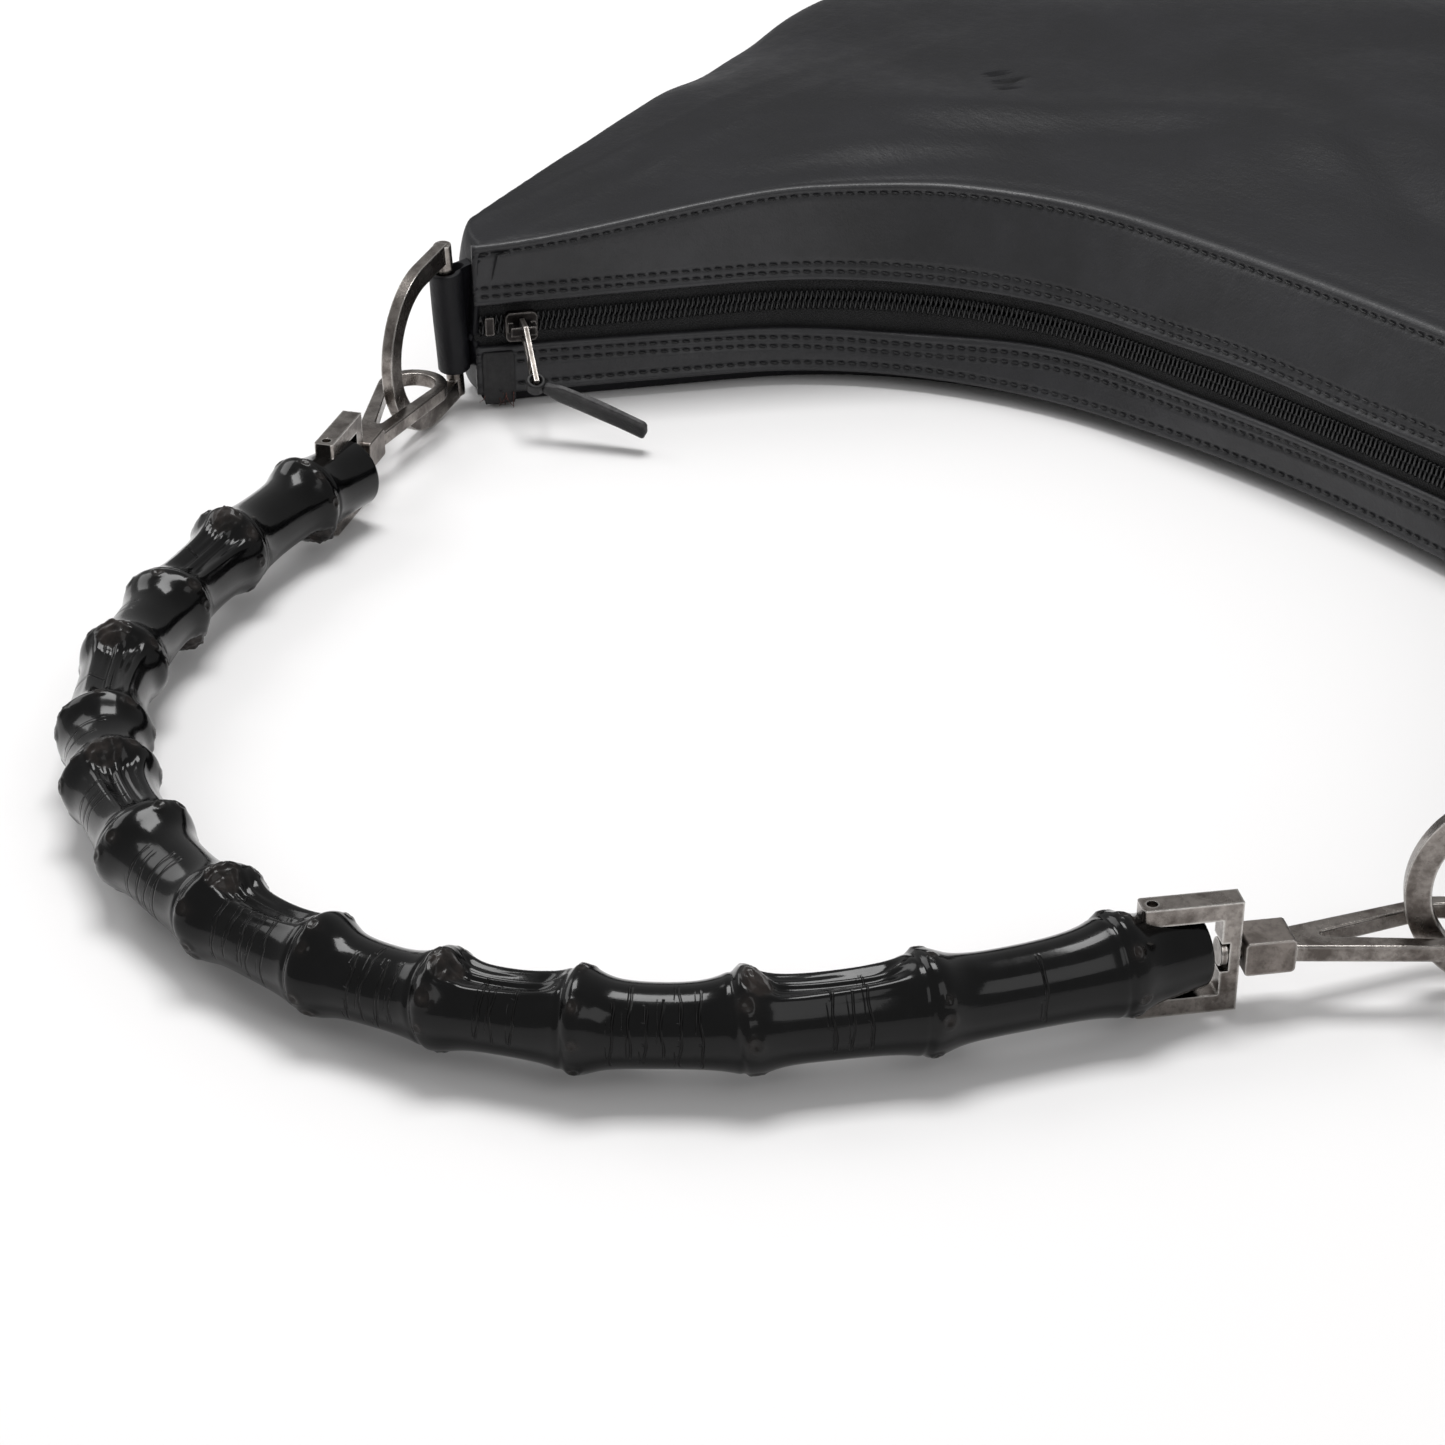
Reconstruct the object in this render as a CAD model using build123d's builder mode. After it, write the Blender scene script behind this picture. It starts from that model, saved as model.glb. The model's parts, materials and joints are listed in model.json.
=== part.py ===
from build123d import *
import os
from math import cos, sin, sqrt, radians

# Shoulder bag with a cane handle, lying on its back panel. Millimetres.
# X runs across the bag, Y from the handle towards the bag's bottom edge, Z up from the table.
# The origin is on the table, under the middle of the whole object's bounding box.

os.makedirs("parts", exist_ok=True)

# Handle: cane bent in one plane, a tight middle arc and two slacker end arcs
handle_x = -6.0  # the handle lies a little left of the bag's middle
handle_front_y = -264.4  # centreline at the foremost point
axis_z = 12.8  # height of the cane's, clevises' and eyes' common plane
middle_radius = 129.0
middle_half_angle = 56.4
end_radius = 265.0
pin_angle = 17.5  # from the end of the middle arc to the clevis pin
cane_radius = 8.5
node_radius = 11.2
node_width = 5.0
cane_beyond_pin = 10.5
# nodes of the cane, measured along it from the handle's middle; grown, so unevenly spaced
node_marks = [
    -197.7, -165.8, -134.0, -105.5, -73.6, -52.1, -24.1,
    7.2, 36.5, 63.8, 91.8, 123.7, 159.2, 199.9,
]

# Clevis, swivel and eye
clevis_height = 25.6
clevis_wall = 4.0
clevis_width = 5.0
clevis_reach = 18.2  # pin to the outer face of the back plate
clevis_behind = 2.5
pin_radius = 1.1
running_gap = 0.05
post_radius = 1.9
post_head_radius = 3.0
post_head_depth = 1.4
block_start = clevis_reach + 0.5
block_length = 10.6
block_width = 8.6
block_height = 7.6
eye_thickness = 3.8
eye_neck_width = 7.5
eye_end_radius = 9.4
eye_slot_radius = 6.3
eye_slot_tip_radius = 0.9
eye_centre = 62.0  # pin to the centre of the rounded end
eye_slot_start = 36.5
eye_heading = {"left": 34.0, "right": 31.0}  # degrees from +Y, outwards

# D-rings on the bag's ears
bar_x = 189.5
bar_y = -63.5
bar_z = 25.5
ring_radius = 23.5
ring_stock = 5.5
ring_thickness = 3.2
ring_leg = 14.0
ring_tilt = 6.0  # the bar's top stands nearer to the handle than its foot
ring_heading = {"left": 27.0, "right": 48.0}  # degrees from -Y, inwards
bar_radius = 2.4
bar_gap = 0.35
chape_length = 30.0
chape_wall = 1.7
chape_tail = 16.0

# Bag body
wall = 1.8
lining_gap = 0.3
lining_wall = 0.6
seam_z = 20.0
mouth_y = 66.0  # middle of the mouth
mouth_shoulder = (60.0, 63.7)
mouth_corner = (150.0, 3.7)
ear_inner = (183.3, -59.5)
ear_outer = (196.5, -56.0)
half_width = 266.0
bottom_y = 275.7
waist_y = 165.0  # where the outline is widest
side_slope = 2.7
middle_crest = 78.0  # height of the stuffed front panel
side_crest = 62.0
side_lift = 4.0  # the wall's top rises again beyond the ears
stations = [0, 45, 90, 120, 145, 165, 183.3, 196.5, 212, 230, 248, 264]

# Bands and zip along the mouth
band_wall = 2.0
front_band_low = 30.0
front_band_high = 57.0
ear_band_high = 46.0
back_band_low = 4.0
back_band_high = 18.0
zip_z = 24.0
coil_half = 2.2
coil_gap = 1.2
tape_wall = 0.7
tape_reach = 11.0

# Slider, puller and leather tab
slider_travel_from = 12.5  # along the mouth's left leg, from the ear
slider_length = 9.0
slider_height = 8.4
puller_length = 22.0
puller_drop = 31.0  # degrees below level
tab_length = 33.0
tab_turn = 55.0  # degrees, from the puller towards the middle of the mouth


def save(part, name):
    part.label = name
    export_step(part, "parts/" + name + ".step")


def side_sign(side):
    return -1 if side == "left" else 1


# ---------------------------------------------------------------- handle
turn = radians(middle_half_angle)
middle_centre_y = handle_front_y + middle_radius
end_centre_x = (middle_radius - end_radius) * sin(turn)
end_centre_y = middle_centre_y + (end_radius - middle_radius) * cos(turn)


def end_arc_point(angle, side):
    """Point on the handle's end arc; angle in degrees from the middle arc's end."""
    a = turn + radians(angle)
    x = end_centre_x + end_radius * sin(a)
    return (handle_x + side * x, end_centre_y - end_radius * cos(a))


def middle_arc_point(angle):
    a = radians(angle)
    return (handle_x + middle_radius * sin(a), middle_centre_y - middle_radius * cos(a))


def cane_place(mark):
    """Point on the cane's centreline and its heading in degrees, at a length from the middle."""
    side = -1 if mark < 0 else 1
    past = abs(mark) - middle_radius * turn
    if past <= 0:
        heading = mark / middle_radius / radians(1)
        return middle_arc_point(heading), heading
    angle = past / end_radius / radians(1)
    return end_arc_point(angle, side), side * (middle_half_angle + angle)


pin_at = {"left": end_arc_point(pin_angle, -1), "right": end_arc_point(pin_angle, 1)}
end_angle = pin_angle + cane_beyond_pin / radians(1) / end_radius

with BuildPart() as bamboo_handle:
    with BuildLine(Plane.XY.offset(axis_z)) as cane_line:
        ThreePointArc(
            end_arc_point(end_angle, -1),
            end_arc_point(end_angle / 2, -1),
            end_arc_point(0, -1),
        )
        ThreePointArc(end_arc_point(0, -1), middle_arc_point(0), end_arc_point(0, 1))
        ThreePointArc(
            end_arc_point(0, 1),
            end_arc_point(end_angle / 2, 1),
            end_arc_point(end_angle, 1),
        )
    with BuildSketch(cane_line.line ^ 0):
        Circle(cane_radius)
    sweep(path=cane_line.line)
    for mark in node_marks:
        (x, y), heading = cane_place(mark)
        facing = (cos(radians(heading)), sin(radians(heading)), 0)
        along = Plane(origin=(x, y, axis_z), z_dir=facing)
        with BuildSketch(along.offset(-node_width / 2)):
            Circle(node_radius - 1.2)
        extrude(amount=node_width)
        with BuildSketch(along.offset(-node_width / 4)):
            Circle(node_radius)
        extrude(amount=node_width / 2)
    for name in ("left", "right"):
        with BuildSketch(Plane.XY):
            with Locations(pin_at[name]):
                Circle(pin_radius)
        extrude(amount=2 * axis_z, mode=Mode.SUBTRACT)
save(bamboo_handle.part, "bamboo_handle")

# ---------------------------------------------------------------- clevises, swivels, eyes
for name in ("left", "right"):
    side = side_sign(name)
    heading = radians(eye_heading[name])
    ex, ey = side * sin(heading), cos(heading)
    px, py = pin_at[name]
    upright = Plane(origin=(px, py, axis_z), x_dir=(ex, ey, 0), z_dir=(ey, -ex, 0))
    flat = Plane(origin=(px, py, axis_z), x_dir=(ex, ey, 0), z_dir=(0, 0, 1))
    across = Plane(origin=(px, py, axis_z), z_dir=(ex, ey, 0))

    with BuildPart() as clevis:
        with BuildSketch(upright):
            with Locations(((clevis_reach - clevis_behind) / 2, 0)):
                Rectangle(clevis_reach + clevis_behind, clevis_height)
            with Locations(((clevis_reach - clevis_wall - clevis_behind) / 2, 0)):
                Rectangle(
                    clevis_reach - clevis_wall + clevis_behind + 0.001,
                    clevis_height - 2 * clevis_wall,
                    mode=Mode.SUBTRACT,
                )
        extrude(amount=clevis_width / 2, both=True)
        fillet(clevis.edges().filter_by(Axis.Z).sort_by(Axis((px, py, 0), (ex, ey, 0)))[:4], 0.8)
        with BuildSketch(Plane.XY):
            with Locations((px, py)):
                Circle(pin_radius + running_gap)
        extrude(amount=2 * axis_z, mode=Mode.SUBTRACT)
        with BuildSketch(across.offset(clevis_reach - clevis_wall - 1)):
            Circle(post_radius + running_gap)
        extrude(amount=clevis_wall + 2, mode=Mode.SUBTRACT)
        with BuildSketch(across.offset(clevis_reach - clevis_wall - 1)):
            Rectangle(2 * post_head_radius + 0.6, 2 * post_head_radius + 0.6)
        extrude(amount=1 + post_head_depth + 0.3, mode=Mode.SUBTRACT)
    save(clevis.part, "clevis_" + name)

    with BuildPart() as handle_pin:
        with BuildSketch(Plane.XY.offset(axis_z - clevis_height / 2 + 1.5)):
            with Locations((px, py)):
                Circle(pin_radius)
        extrude(amount=clevis_height - 3.0)
    save(handle_pin.part, "handle_pin_" + name)

    with BuildPart() as swivel_post:
        with BuildSketch(across.offset(clevis_reach - clevis_wall)):
            Circle(post_head_radius)
        extrude(amount=post_head_depth)
        with BuildSketch(across.offset(clevis_reach - clevis_wall)):
            Circle(post_radius)
        extrude(amount=clevis_wall + 0.5 + block_length - 3.0)
    save(swivel_post.part, "swivel_post_" + name)

    with BuildPart() as swivel_block:
        with BuildSketch(upright):
            with Locations((block_start + block_length / 2, 0)):
                RectangleRounded(block_length, block_height, 1.0)
        extrude(amount=block_width / 2, both=True)
        with BuildSketch(across.offset(block_start)):
            Circle(post_radius)
        extrude(amount=block_length - 3.0, mode=Mode.SUBTRACT)
    save(swivel_block.part, "swivel_block_" + name)

    with BuildPart() as eye:
        with BuildSketch(flat.offset(-eye_thickness / 2)) as eye_outline:
            with Locations((block_start + block_length + 0.5, 0)):
                Rectangle(1.0, eye_neck_width)
            with Locations((eye_centre, 0)):
                Circle(eye_end_radius)
            make_hull()
            with BuildSketch(mode=Mode.SUBTRACT):
                with Locations((eye_slot_start, 0)):
                    Circle(eye_slot_tip_radius)
                with Locations((eye_centre, 0)):
                    Circle(eye_slot_radius)
                make_hull()
        extrude(amount=eye_thickness)
        fillet(eye.edges().filter_by(Axis.Z, reverse=True).group_by(Axis.Z)[-1], 0.5)
        fillet(eye.edges().filter_by(Axis.Z, reverse=True).group_by(Axis.Z)[0], 0.5)
    save(eye.part, "eye_" + name)

# ---------------------------------------------------------------- D-rings and chapes
chape_solids = {}
for name in ("left", "right"):
    side = side_sign(name)
    heading = radians(ring_heading[name])
    tilt = radians(ring_tilt)
    level = (-side * sin(heading), -cos(heading))
    u = (level[0] * cos(tilt), level[1] * cos(tilt), -sin(tilt))
    b = (level[0] * sin(tilt), level[1] * sin(tilt), cos(tilt))
    normal = Vector(*u).cross(Vector(*b))
    bar_at = (side * bar_x, bar_y, bar_z)
    ring_plane = Plane(origin=bar_at, x_dir=u, z_dir=normal)
    middle = ring_radius - ring_stock / 2

    with BuildPart() as d_ring:
        with BuildSketch(ring_plane):
            with Locations((ring_leg, 0)):
                Circle(ring_radius)
                Circle(ring_radius - ring_stock, mode=Mode.SUBTRACT)
            with Locations((ring_leg / 2 - ring_radius, 0)):
                Rectangle(2 * ring_radius + ring_leg, 2.2 * ring_radius, mode=Mode.SUBTRACT)
            for end in (-1, 1):
                with Locations((ring_leg / 2, end * middle)):
                    Rectangle(ring_leg, ring_stock)
        extrude(amount=ring_thickness / 2, both=True)
        with BuildSketch(Plane(origin=bar_at, z_dir=b).offset(-ring_radius + 0.6)):
            Circle(bar_radius)
        extrude(amount=2 * ring_radius - 1.2)
    save(d_ring.part, "d_ring_" + name)

    # The chape is a leather strap folded round the bar, with its tail sewn into the ear.
    bar_plane = Plane(origin=bar_at, x_dir=(0, 1, 0), z_dir=b)
    inner = bar_radius + bar_gap
    with BuildPart() as chape:
        with BuildSketch(bar_plane.offset(-chape_length / 2)):
            Circle(inner + chape_wall)
            with Locations((chape_tail / 2, 0)):
                Rectangle(chape_tail, 2 * chape_wall)
            Circle(inner, mode=Mode.SUBTRACT)
        extrude(amount=chape_length)
    save(chape.part, "chape_" + name)
    with BuildPart() as slot_cutter:
        with BuildSketch(bar_plane.offset(-chape_length / 2)):
            with Locations((chape_tail / 2 + 0.5, 0)):
                Rectangle(chape_tail + 1, 2 * chape_wall)
            Circle(inner + chape_wall)
        extrude(amount=chape_length)
    chape_solids[name] = slot_cutter.part


# ---------------------------------------------------------------- bag shells
def mouth_y_at(x):
    """The mouth's Y at a distance x from the middle: flat middle, round shoulder, straight leg."""
    x = abs(x)
    sx, sy = mouth_shoulder
    cx, cy = mouth_corner
    if x <= sx:
        return mouth_y - (mouth_y - sy) * (x / sx) ** 2
    if x <= cx:
        # circle tangent to the leg at the corner and through the shoulder point
        ox, oy, r = shoulder_circle()
        return oy + sqrt(max(r * r - (x - ox) ** 2, 0))
    ix, iy = ear_inner
    return cy + (iy - cy) * (x - cx) / (ix - cx)


def shoulder_circle():
    """Centre and radius of the shoulder arc, tangent to the mouth's straight leg."""
    sx, sy = mouth_shoulder
    cx, cy = mouth_corner
    ix, iy = ear_inner
    length = sqrt((ix - cx) ** 2 + (iy - cy) ** 2)
    nx, ny = (iy - cy) / length, -(ix - cx) / length
    dx, dy = sx - cx, sy - cy
    r = (dx * dx + dy * dy) / (2 * (dx * nx + dy * ny))
    return (cx + nx * r, cy + ny * r, abs(r))


def outline_low(x):
    """Near edge of the bag's plan: the mouth, then the ear's end, then the flaring side."""
    x = abs(x)
    if x <= ear_inner[0]:
        return mouth_y_at(x)
    if x <= ear_outer[0]:
        share = (x - ear_inner[0]) / (ear_outer[0] - ear_inner[0])
        return ear_inner[1] + share * (ear_outer[1] - ear_inner[1])
    return ear_outer[1] + side_slope * (x - ear_outer[0])


def outline_high(x):
    """Far edge of the bag's plan, a rounded bottom."""
    share = min(abs(x) / half_width, 1.0)
    return waist_y + (bottom_y - waist_y) * sqrt(1 - share**2.2)


def heights(x):
    """Top of the mouth wall and crest of the front panel at a distance x from the middle."""
    x = abs(x)
    edge = front_band_high - (front_band_high - ear_band_high) * min(1, max(0, x - 90) / 90)
    edge += side_lift * min(1, max(0, x - ear_inner[0]) / 30)
    crest = middle_crest - (middle_crest - side_crest) * min(1, max(0, x - 90) / 110)
    end_fall = 8.0 * max(0, x - 248) / 16
    return edge - end_fall, crest - end_fall


def section(x):
    """Seven corners of the bag's cross-section in Y and Z at one X."""
    low, high = outline_low(x), outline_high(x)
    span = high - low
    edge, crest = heights(x)
    return [
        (low, 5.0),
        (low, edge),
        (low + 0.35 * span, 0.92 * crest),
        (high - 0.18 * span, crest),
        (high, seam_z + 2),
        (high - 0.12 * span, 0.0),
        (low + 0.04 * span + 2, 0.0),
    ]


def inset(points, amount):
    """The same corners moved inwards, each side by the same amount."""
    count = len(points)
    moved = []
    for i in range(count):
        ax, ay = points[i - 1]
        bx, by = points[i]
        cx, cy = points[(i + 1) % count]
        d1, d2 = sqrt((bx - ax) ** 2 + (by - ay) ** 2), sqrt((cx - bx) ** 2 + (cy - by) ** 2)
        n1 = ((by - ay) / d1, -(bx - ax) / d1)
        n2 = ((cy - by) / d2, -(cx - bx) / d2)
        share = amount / (1 + n1[0] * n2[0] + n1[1] * n2[1])
        moved.append((bx + share * (n1[0] + n2[0]), by + share * (n1[1] + n2[1])))
    return moved


def body_solid(amount):
    """Solid of the bag's shape, shrunk by an amount on every side."""
    places = [-x for x in stations[:0:-1]] + stations
    places[0] += amount
    places[-1] -= amount
    with BuildPart() as body:
        for x in places:
            with BuildSketch(Plane(origin=(x, 0, 0), x_dir=(0, 1, 0), z_dir=(1, 0, 0))):
                Polygon(*inset(section(x), amount), align=None)
        loft(ruled=True)
    return body.part


def mouth_points(amount):
    """Ear, corner, shoulder-arc middle, shoulder and middle points of the mouth line moved into the bag."""
    ix, iy = ear_inner
    cx, cy = mouth_corner
    ox, oy, r = shoulder_circle()
    nx, ny = (cx - ox) / r, (cy - oy) / r
    corner = (cx + nx * amount, cy + ny * amount)
    ear = (ix + nx * amount, iy + ny * amount)
    sx, sy = mouth_shoulder
    shoulder = (sx + (sx - ox) / r * amount, sy + (sy - oy) / r * amount)
    ax, ay = (cx + sx) / 2 - ox, (cy + sy) / 2 - oy
    scale = (r + amount) / sqrt(ax * ax + ay * ay)
    return ear, corner, (ox + ax * scale, oy + ay * scale), shoulder, (0, mouth_y + amount)


def flipped(point):
    return (-point[0], point[1])


def mouth_strip(near, far, low, high):
    """Strip that follows the mouth, between two distances behind its line and two heights."""
    with BuildPart() as strip:
        with BuildSketch(Plane.XY.offset(low)):
            with BuildLine():
                for amount in (near, far):
                    ear, corner, bend, shoulder, middle = mouth_points(amount)
                    Line(flipped(ear), flipped(corner))
                    ThreePointArc(flipped(corner), flipped(bend), flipped(shoulder))
                    ThreePointArc(flipped(shoulder), middle, shoulder)
                    ThreePointArc(shoulder, bend, corner)
                    Line(corner, ear)
                for turned in (flipped, tuple):
                    Line(turned(mouth_points(near)[0]), turned(mouth_points(far)[0]))
            make_face()
        extrude(amount=high - low)
    return strip.part


mouth_cut = mouth_strip(-5.0, band_wall, -1.0, 90.0)
lining_cut = mouth_strip(-5.0, band_wall + 1.2, -1.0, 90.0)
tape_cut = mouth_strip(0, band_wall + tape_wall, zip_z - tape_reach - 1, zip_z + tape_reach + 1)
panel_cuts = [mouth_cut, tape_cut] + list(chape_solids.values())
lining_cuts = [lining_cut] + list(chape_solids.values())


def half_shell(outer, inner, cuts, upper):
    """Thin wall between two shrunken bodies, above or below the seam plane."""
    with BuildPart() as half:
        add(outer)
        add(inner, mode=Mode.SUBTRACT)
        for cut in cuts:
            add(cut, mode=Mode.SUBTRACT)
        split(bisect_by=Plane.XY.offset(seam_z), keep=Keep.TOP if upper else Keep.BOTTOM)
    return half.part


outer_body = body_solid(0)
inner_body = body_solid(wall)
lining_outer = body_solid(wall + lining_gap)
lining_inner = body_solid(wall + lining_gap + lining_wall)
save(half_shell(outer_body, inner_body, panel_cuts, True), "front_panel")
save(half_shell(outer_body, inner_body, panel_cuts, False), "back_panel")
save(half_shell(lining_outer, lining_inner, lining_cuts, True), "front_lining")
save(half_shell(lining_outer, lining_inner, lining_cuts, False), "back_lining")

with BuildPart() as inner_pocket:
    with BuildSketch(Plane.XY.offset(3.2)):
        with Locations((0, 150.0)):
            RectangleRounded(150.0, 95.0, 6.0)
    extrude(amount=1.2)
save(inner_pocket.part, "inner_pocket")

# ---------------------------------------------------------------- bands, tapes, coils
with BuildPart() as front_band:
    add(mouth_strip(0, band_wall, front_band_low, front_band_high))
    with BuildSketch(Plane.XZ):
        Polygon(
            (-200, front_band_low - 1),
            (200, front_band_low - 1),
            (200, ear_band_high - 2),
            (90, front_band_high + 1),
            (-90, front_band_high + 1),
            (-200, ear_band_high - 2),
            align=None,
        )
    extrude(amount=300, both=True, mode=Mode.INTERSECT)
save(front_band.part, "front_band")
save(mouth_strip(0, band_wall, back_band_low, back_band_high), "back_band")

tape_from, tape_to = band_wall, band_wall + tape_wall
coil_low = zip_z + coil_gap / 2
save(mouth_strip(tape_from, tape_to, coil_low, coil_low + tape_reach), "front_zip_tape")
save(mouth_strip(0.4, band_wall, coil_low, coil_low + coil_half), "front_zip_coil")
coil_high = zip_z - coil_gap / 2
save(mouth_strip(tape_from, tape_to, coil_high - tape_reach, coil_high), "back_zip_tape")
save(mouth_strip(0.4, band_wall, coil_high - coil_half, coil_high), "back_zip_coil")

# ---------------------------------------------------------------- zip ends, slider, puller, tab
leg_length = sqrt((ear_inner[0] - mouth_corner[0]) ** 2 + (ear_inner[1] - mouth_corner[1]) ** 2)
leg_x = (ear_inner[0] - mouth_corner[0]) / leg_length
leg_y = (mouth_corner[1] - ear_inner[1]) / leg_length


def leg_plane(side, along):
    """Plane on the mouth's straight leg: X along it from the ear, Y up, Z out towards the hand."""
    x = side * (ear_inner[0] - leg_x * along)
    y = ear_inner[1] + leg_y * along
    if side < 0:
        return Plane(origin=(x, y, zip_z), x_dir=(leg_x, leg_y, 0), z_dir=(leg_y, -leg_x, 0))
    return Plane(origin=(x, y, zip_z), x_dir=(leg_x, -leg_y, 0), z_dir=(-leg_y, -leg_x, 0))


for name in ("left", "right"):
    side = side_sign(name)
    with BuildPart() as zip_end_tab:
        with BuildSketch(leg_plane(side, 6.0)):
            with Locations((0, -15.0)):
                RectangleRounded(9.0, 15.0, 1.0)
        extrude(amount=1.4)
    save(zip_end_tab.part, "zip_end_tab_" + name)
    with BuildPart() as zip_stop:
        with BuildSketch(leg_plane(side, 4.0).offset(-0.4)):
            RectangleRounded(2.6, 5.4, 0.5)
        extrude(amount=0.9)
    save(zip_stop.part, "zip_stop_" + name)

slider_plane = leg_plane(-1, slider_travel_from)
with BuildPart() as zip_slider:
    with BuildSketch(slider_plane.offset(-0.1)):
        RectangleRounded(slider_length, slider_height, 1.6)
    extrude(amount=2.5)
    with BuildSketch(slider_plane.offset(-4.6)):
        RectangleRounded(slider_length, slider_height, 1.6)
    extrude(amount=1.6)
    with BuildSketch(slider_plane.offset(-3.2)):
        with Locations((2.5, 0)):
            Rectangle(3.0, coil_gap - 0.6)
    extrude(amount=3.3)
    with BuildSketch(slider_plane.offset(2.3)):
        for end in (-1, 1):
            with Locations((end * 3.1, 0)):
                Rectangle(1.0, 2.6)
    extrude(amount=2.8)
    with BuildSketch(slider_plane.offset(5.0)):
        Rectangle(7.2, 2.6)
    extrude(amount=1.0)
save(zip_slider.part, "zip_slider")

side_view = Plane(
    origin=slider_plane.origin,
    x_dir=slider_plane.z_dir,
    z_dir=slider_plane.z_dir.cross(Vector(0, 0, 1)),
)
pivot_out = 3.65
knee_out = 8.8
puller_arm = puller_length - (knee_out - pivot_out)
drop = radians(puller_drop)
puller_thickness = 1.4
with BuildPart() as zip_puller:
    with BuildSketch(side_view):
        with Locations(((knee_out + 2.95) / 2, 0)):
            Rectangle(knee_out - 2.95, 5.6)
        with Locations(Location((knee_out, 0), -puller_drop)):
            with Locations((puller_arm / 2 - 0.6, 0)):
                Rectangle(puller_arm + 1.2, 5.6)
        with Locations(((knee_out + 4.35) / 2 + 0.2, 0)):
            Rectangle(knee_out - 4.35 + 0.4, 3.2, mode=Mode.SUBTRACT)
        with Locations(Location((knee_out, 0), -puller_drop)):
            with Locations((3.6, 0)):
                Rectangle(8.4, 2.6, mode=Mode.SUBTRACT)
            with Locations((puller_arm - 4.0, 0)):
                Rectangle(4.2, 4.4, mode=Mode.SUBTRACT)
    extrude(amount=puller_thickness / 2, both=True)
save(zip_puller.part, "zip_puller")

bar_out = knee_out + (puller_arm - 0.95) * cos(drop)
bar_down = -(puller_arm - 0.95) * sin(drop)
out, up, along = slider_plane.z_dir, Vector(0, 0, 1), slider_plane.x_dir
droop = out * cos(drop) - up * sin(drop)
bar_dir = out * sin(drop) + up * cos(drop)
tab_dir = droop * cos(radians(tab_turn)) + along * sin(radians(tab_turn))
tab_origin = slider_plane.origin + out * bar_out + up * bar_down
tab_plane = Plane(origin=tab_origin, x_dir=tab_dir, z_dir=bar_dir)
tab_hole = 1.5
with BuildPart() as pull_tab:
    with BuildSketch(tab_plane):
        Circle(tab_hole + 1.1)
        with Locations((4.0, 0)):
            Rectangle(6.0, 2.4)
        Circle(tab_hole, mode=Mode.SUBTRACT)
    extrude(amount=1.9, both=True)
    with BuildSketch(tab_plane):
        with Locations((4.5 + (tab_length - 4.5) / 2, 0)):
            RectangleRounded(tab_length - 4.5, 2.4, 0.6)
    extrude(amount=3.2, both=True)
save(pull_tab.part, "pull_tab")
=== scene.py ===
import json
import bmesh
import bpy
import numpy as np
from math import atan2, cos, pi, radians, sin, sqrt
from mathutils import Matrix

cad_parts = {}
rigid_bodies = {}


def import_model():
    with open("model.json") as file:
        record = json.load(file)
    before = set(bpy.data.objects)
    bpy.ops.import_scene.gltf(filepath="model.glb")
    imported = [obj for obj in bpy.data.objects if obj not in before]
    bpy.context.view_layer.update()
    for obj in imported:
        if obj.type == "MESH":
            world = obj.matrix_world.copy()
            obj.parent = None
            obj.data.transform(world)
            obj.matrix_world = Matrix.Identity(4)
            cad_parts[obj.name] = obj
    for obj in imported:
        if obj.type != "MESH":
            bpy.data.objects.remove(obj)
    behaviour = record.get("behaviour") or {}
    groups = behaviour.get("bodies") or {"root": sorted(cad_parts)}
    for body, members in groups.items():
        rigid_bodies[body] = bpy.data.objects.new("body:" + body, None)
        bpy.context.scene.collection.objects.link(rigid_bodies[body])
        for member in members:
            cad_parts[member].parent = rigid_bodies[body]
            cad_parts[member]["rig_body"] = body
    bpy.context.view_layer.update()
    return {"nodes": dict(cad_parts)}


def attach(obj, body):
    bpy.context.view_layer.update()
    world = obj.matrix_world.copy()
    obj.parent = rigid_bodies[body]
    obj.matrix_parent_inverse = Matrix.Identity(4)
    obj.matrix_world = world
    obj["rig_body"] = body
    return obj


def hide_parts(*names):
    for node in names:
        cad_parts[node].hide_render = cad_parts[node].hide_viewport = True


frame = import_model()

mm = 0.001
scene = bpy.context.scene


# small tools

def hexColour(code):
    # sRGB hex to a linear colour with alpha
    share = np.array([int(code[i:i + 2], 16) for i in (0, 2, 4)]) / 255
    linear = np.where(share <= 0.04045, share / 12.92, ((share + 0.055) / 1.055) ** 2.4)
    return (*[float(v) for v in linear], 1.0)


def ease(value, start, end):
    # 0 before start, 1 after end, an S-curve between them
    t = np.clip((value - start) / (end - start), 0, 1)
    return t * t * (3 - 2 * t)


def roundRise(share, power):
    # 0 at 0 and 1 at 1, steep at first like the shoulder of a cushion
    return np.sqrt(np.clip(1 - (1 - np.clip(share, 0, 1)) ** power, 0, 1))


def hill(distance, width):
    # bell curve, 1 at no distance
    return np.exp(-(distance / width) ** 2)


def swell(a, b, size, seed, count=7):
    # smooth unevenness: plane waves of about the given length, each with its own heading and phase
    rng = np.random.default_rng(seed)
    heading, phase = rng.uniform(0, 2 * pi, count), rng.uniform(0, 2 * pi, count)
    length = size * rng.uniform(0.7, 1.6, count)
    total = 0
    for k in range(count):
        total = total + np.cos(2 * pi * (a * cos(heading[k]) + b * sin(heading[k])) / length[k] + phase[k])
    return total / sqrt(count)


def unit(vectors):
    return vectors / (np.linalg.norm(vectors, axis=-1, keepdims=True) + 1e-12)


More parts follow.
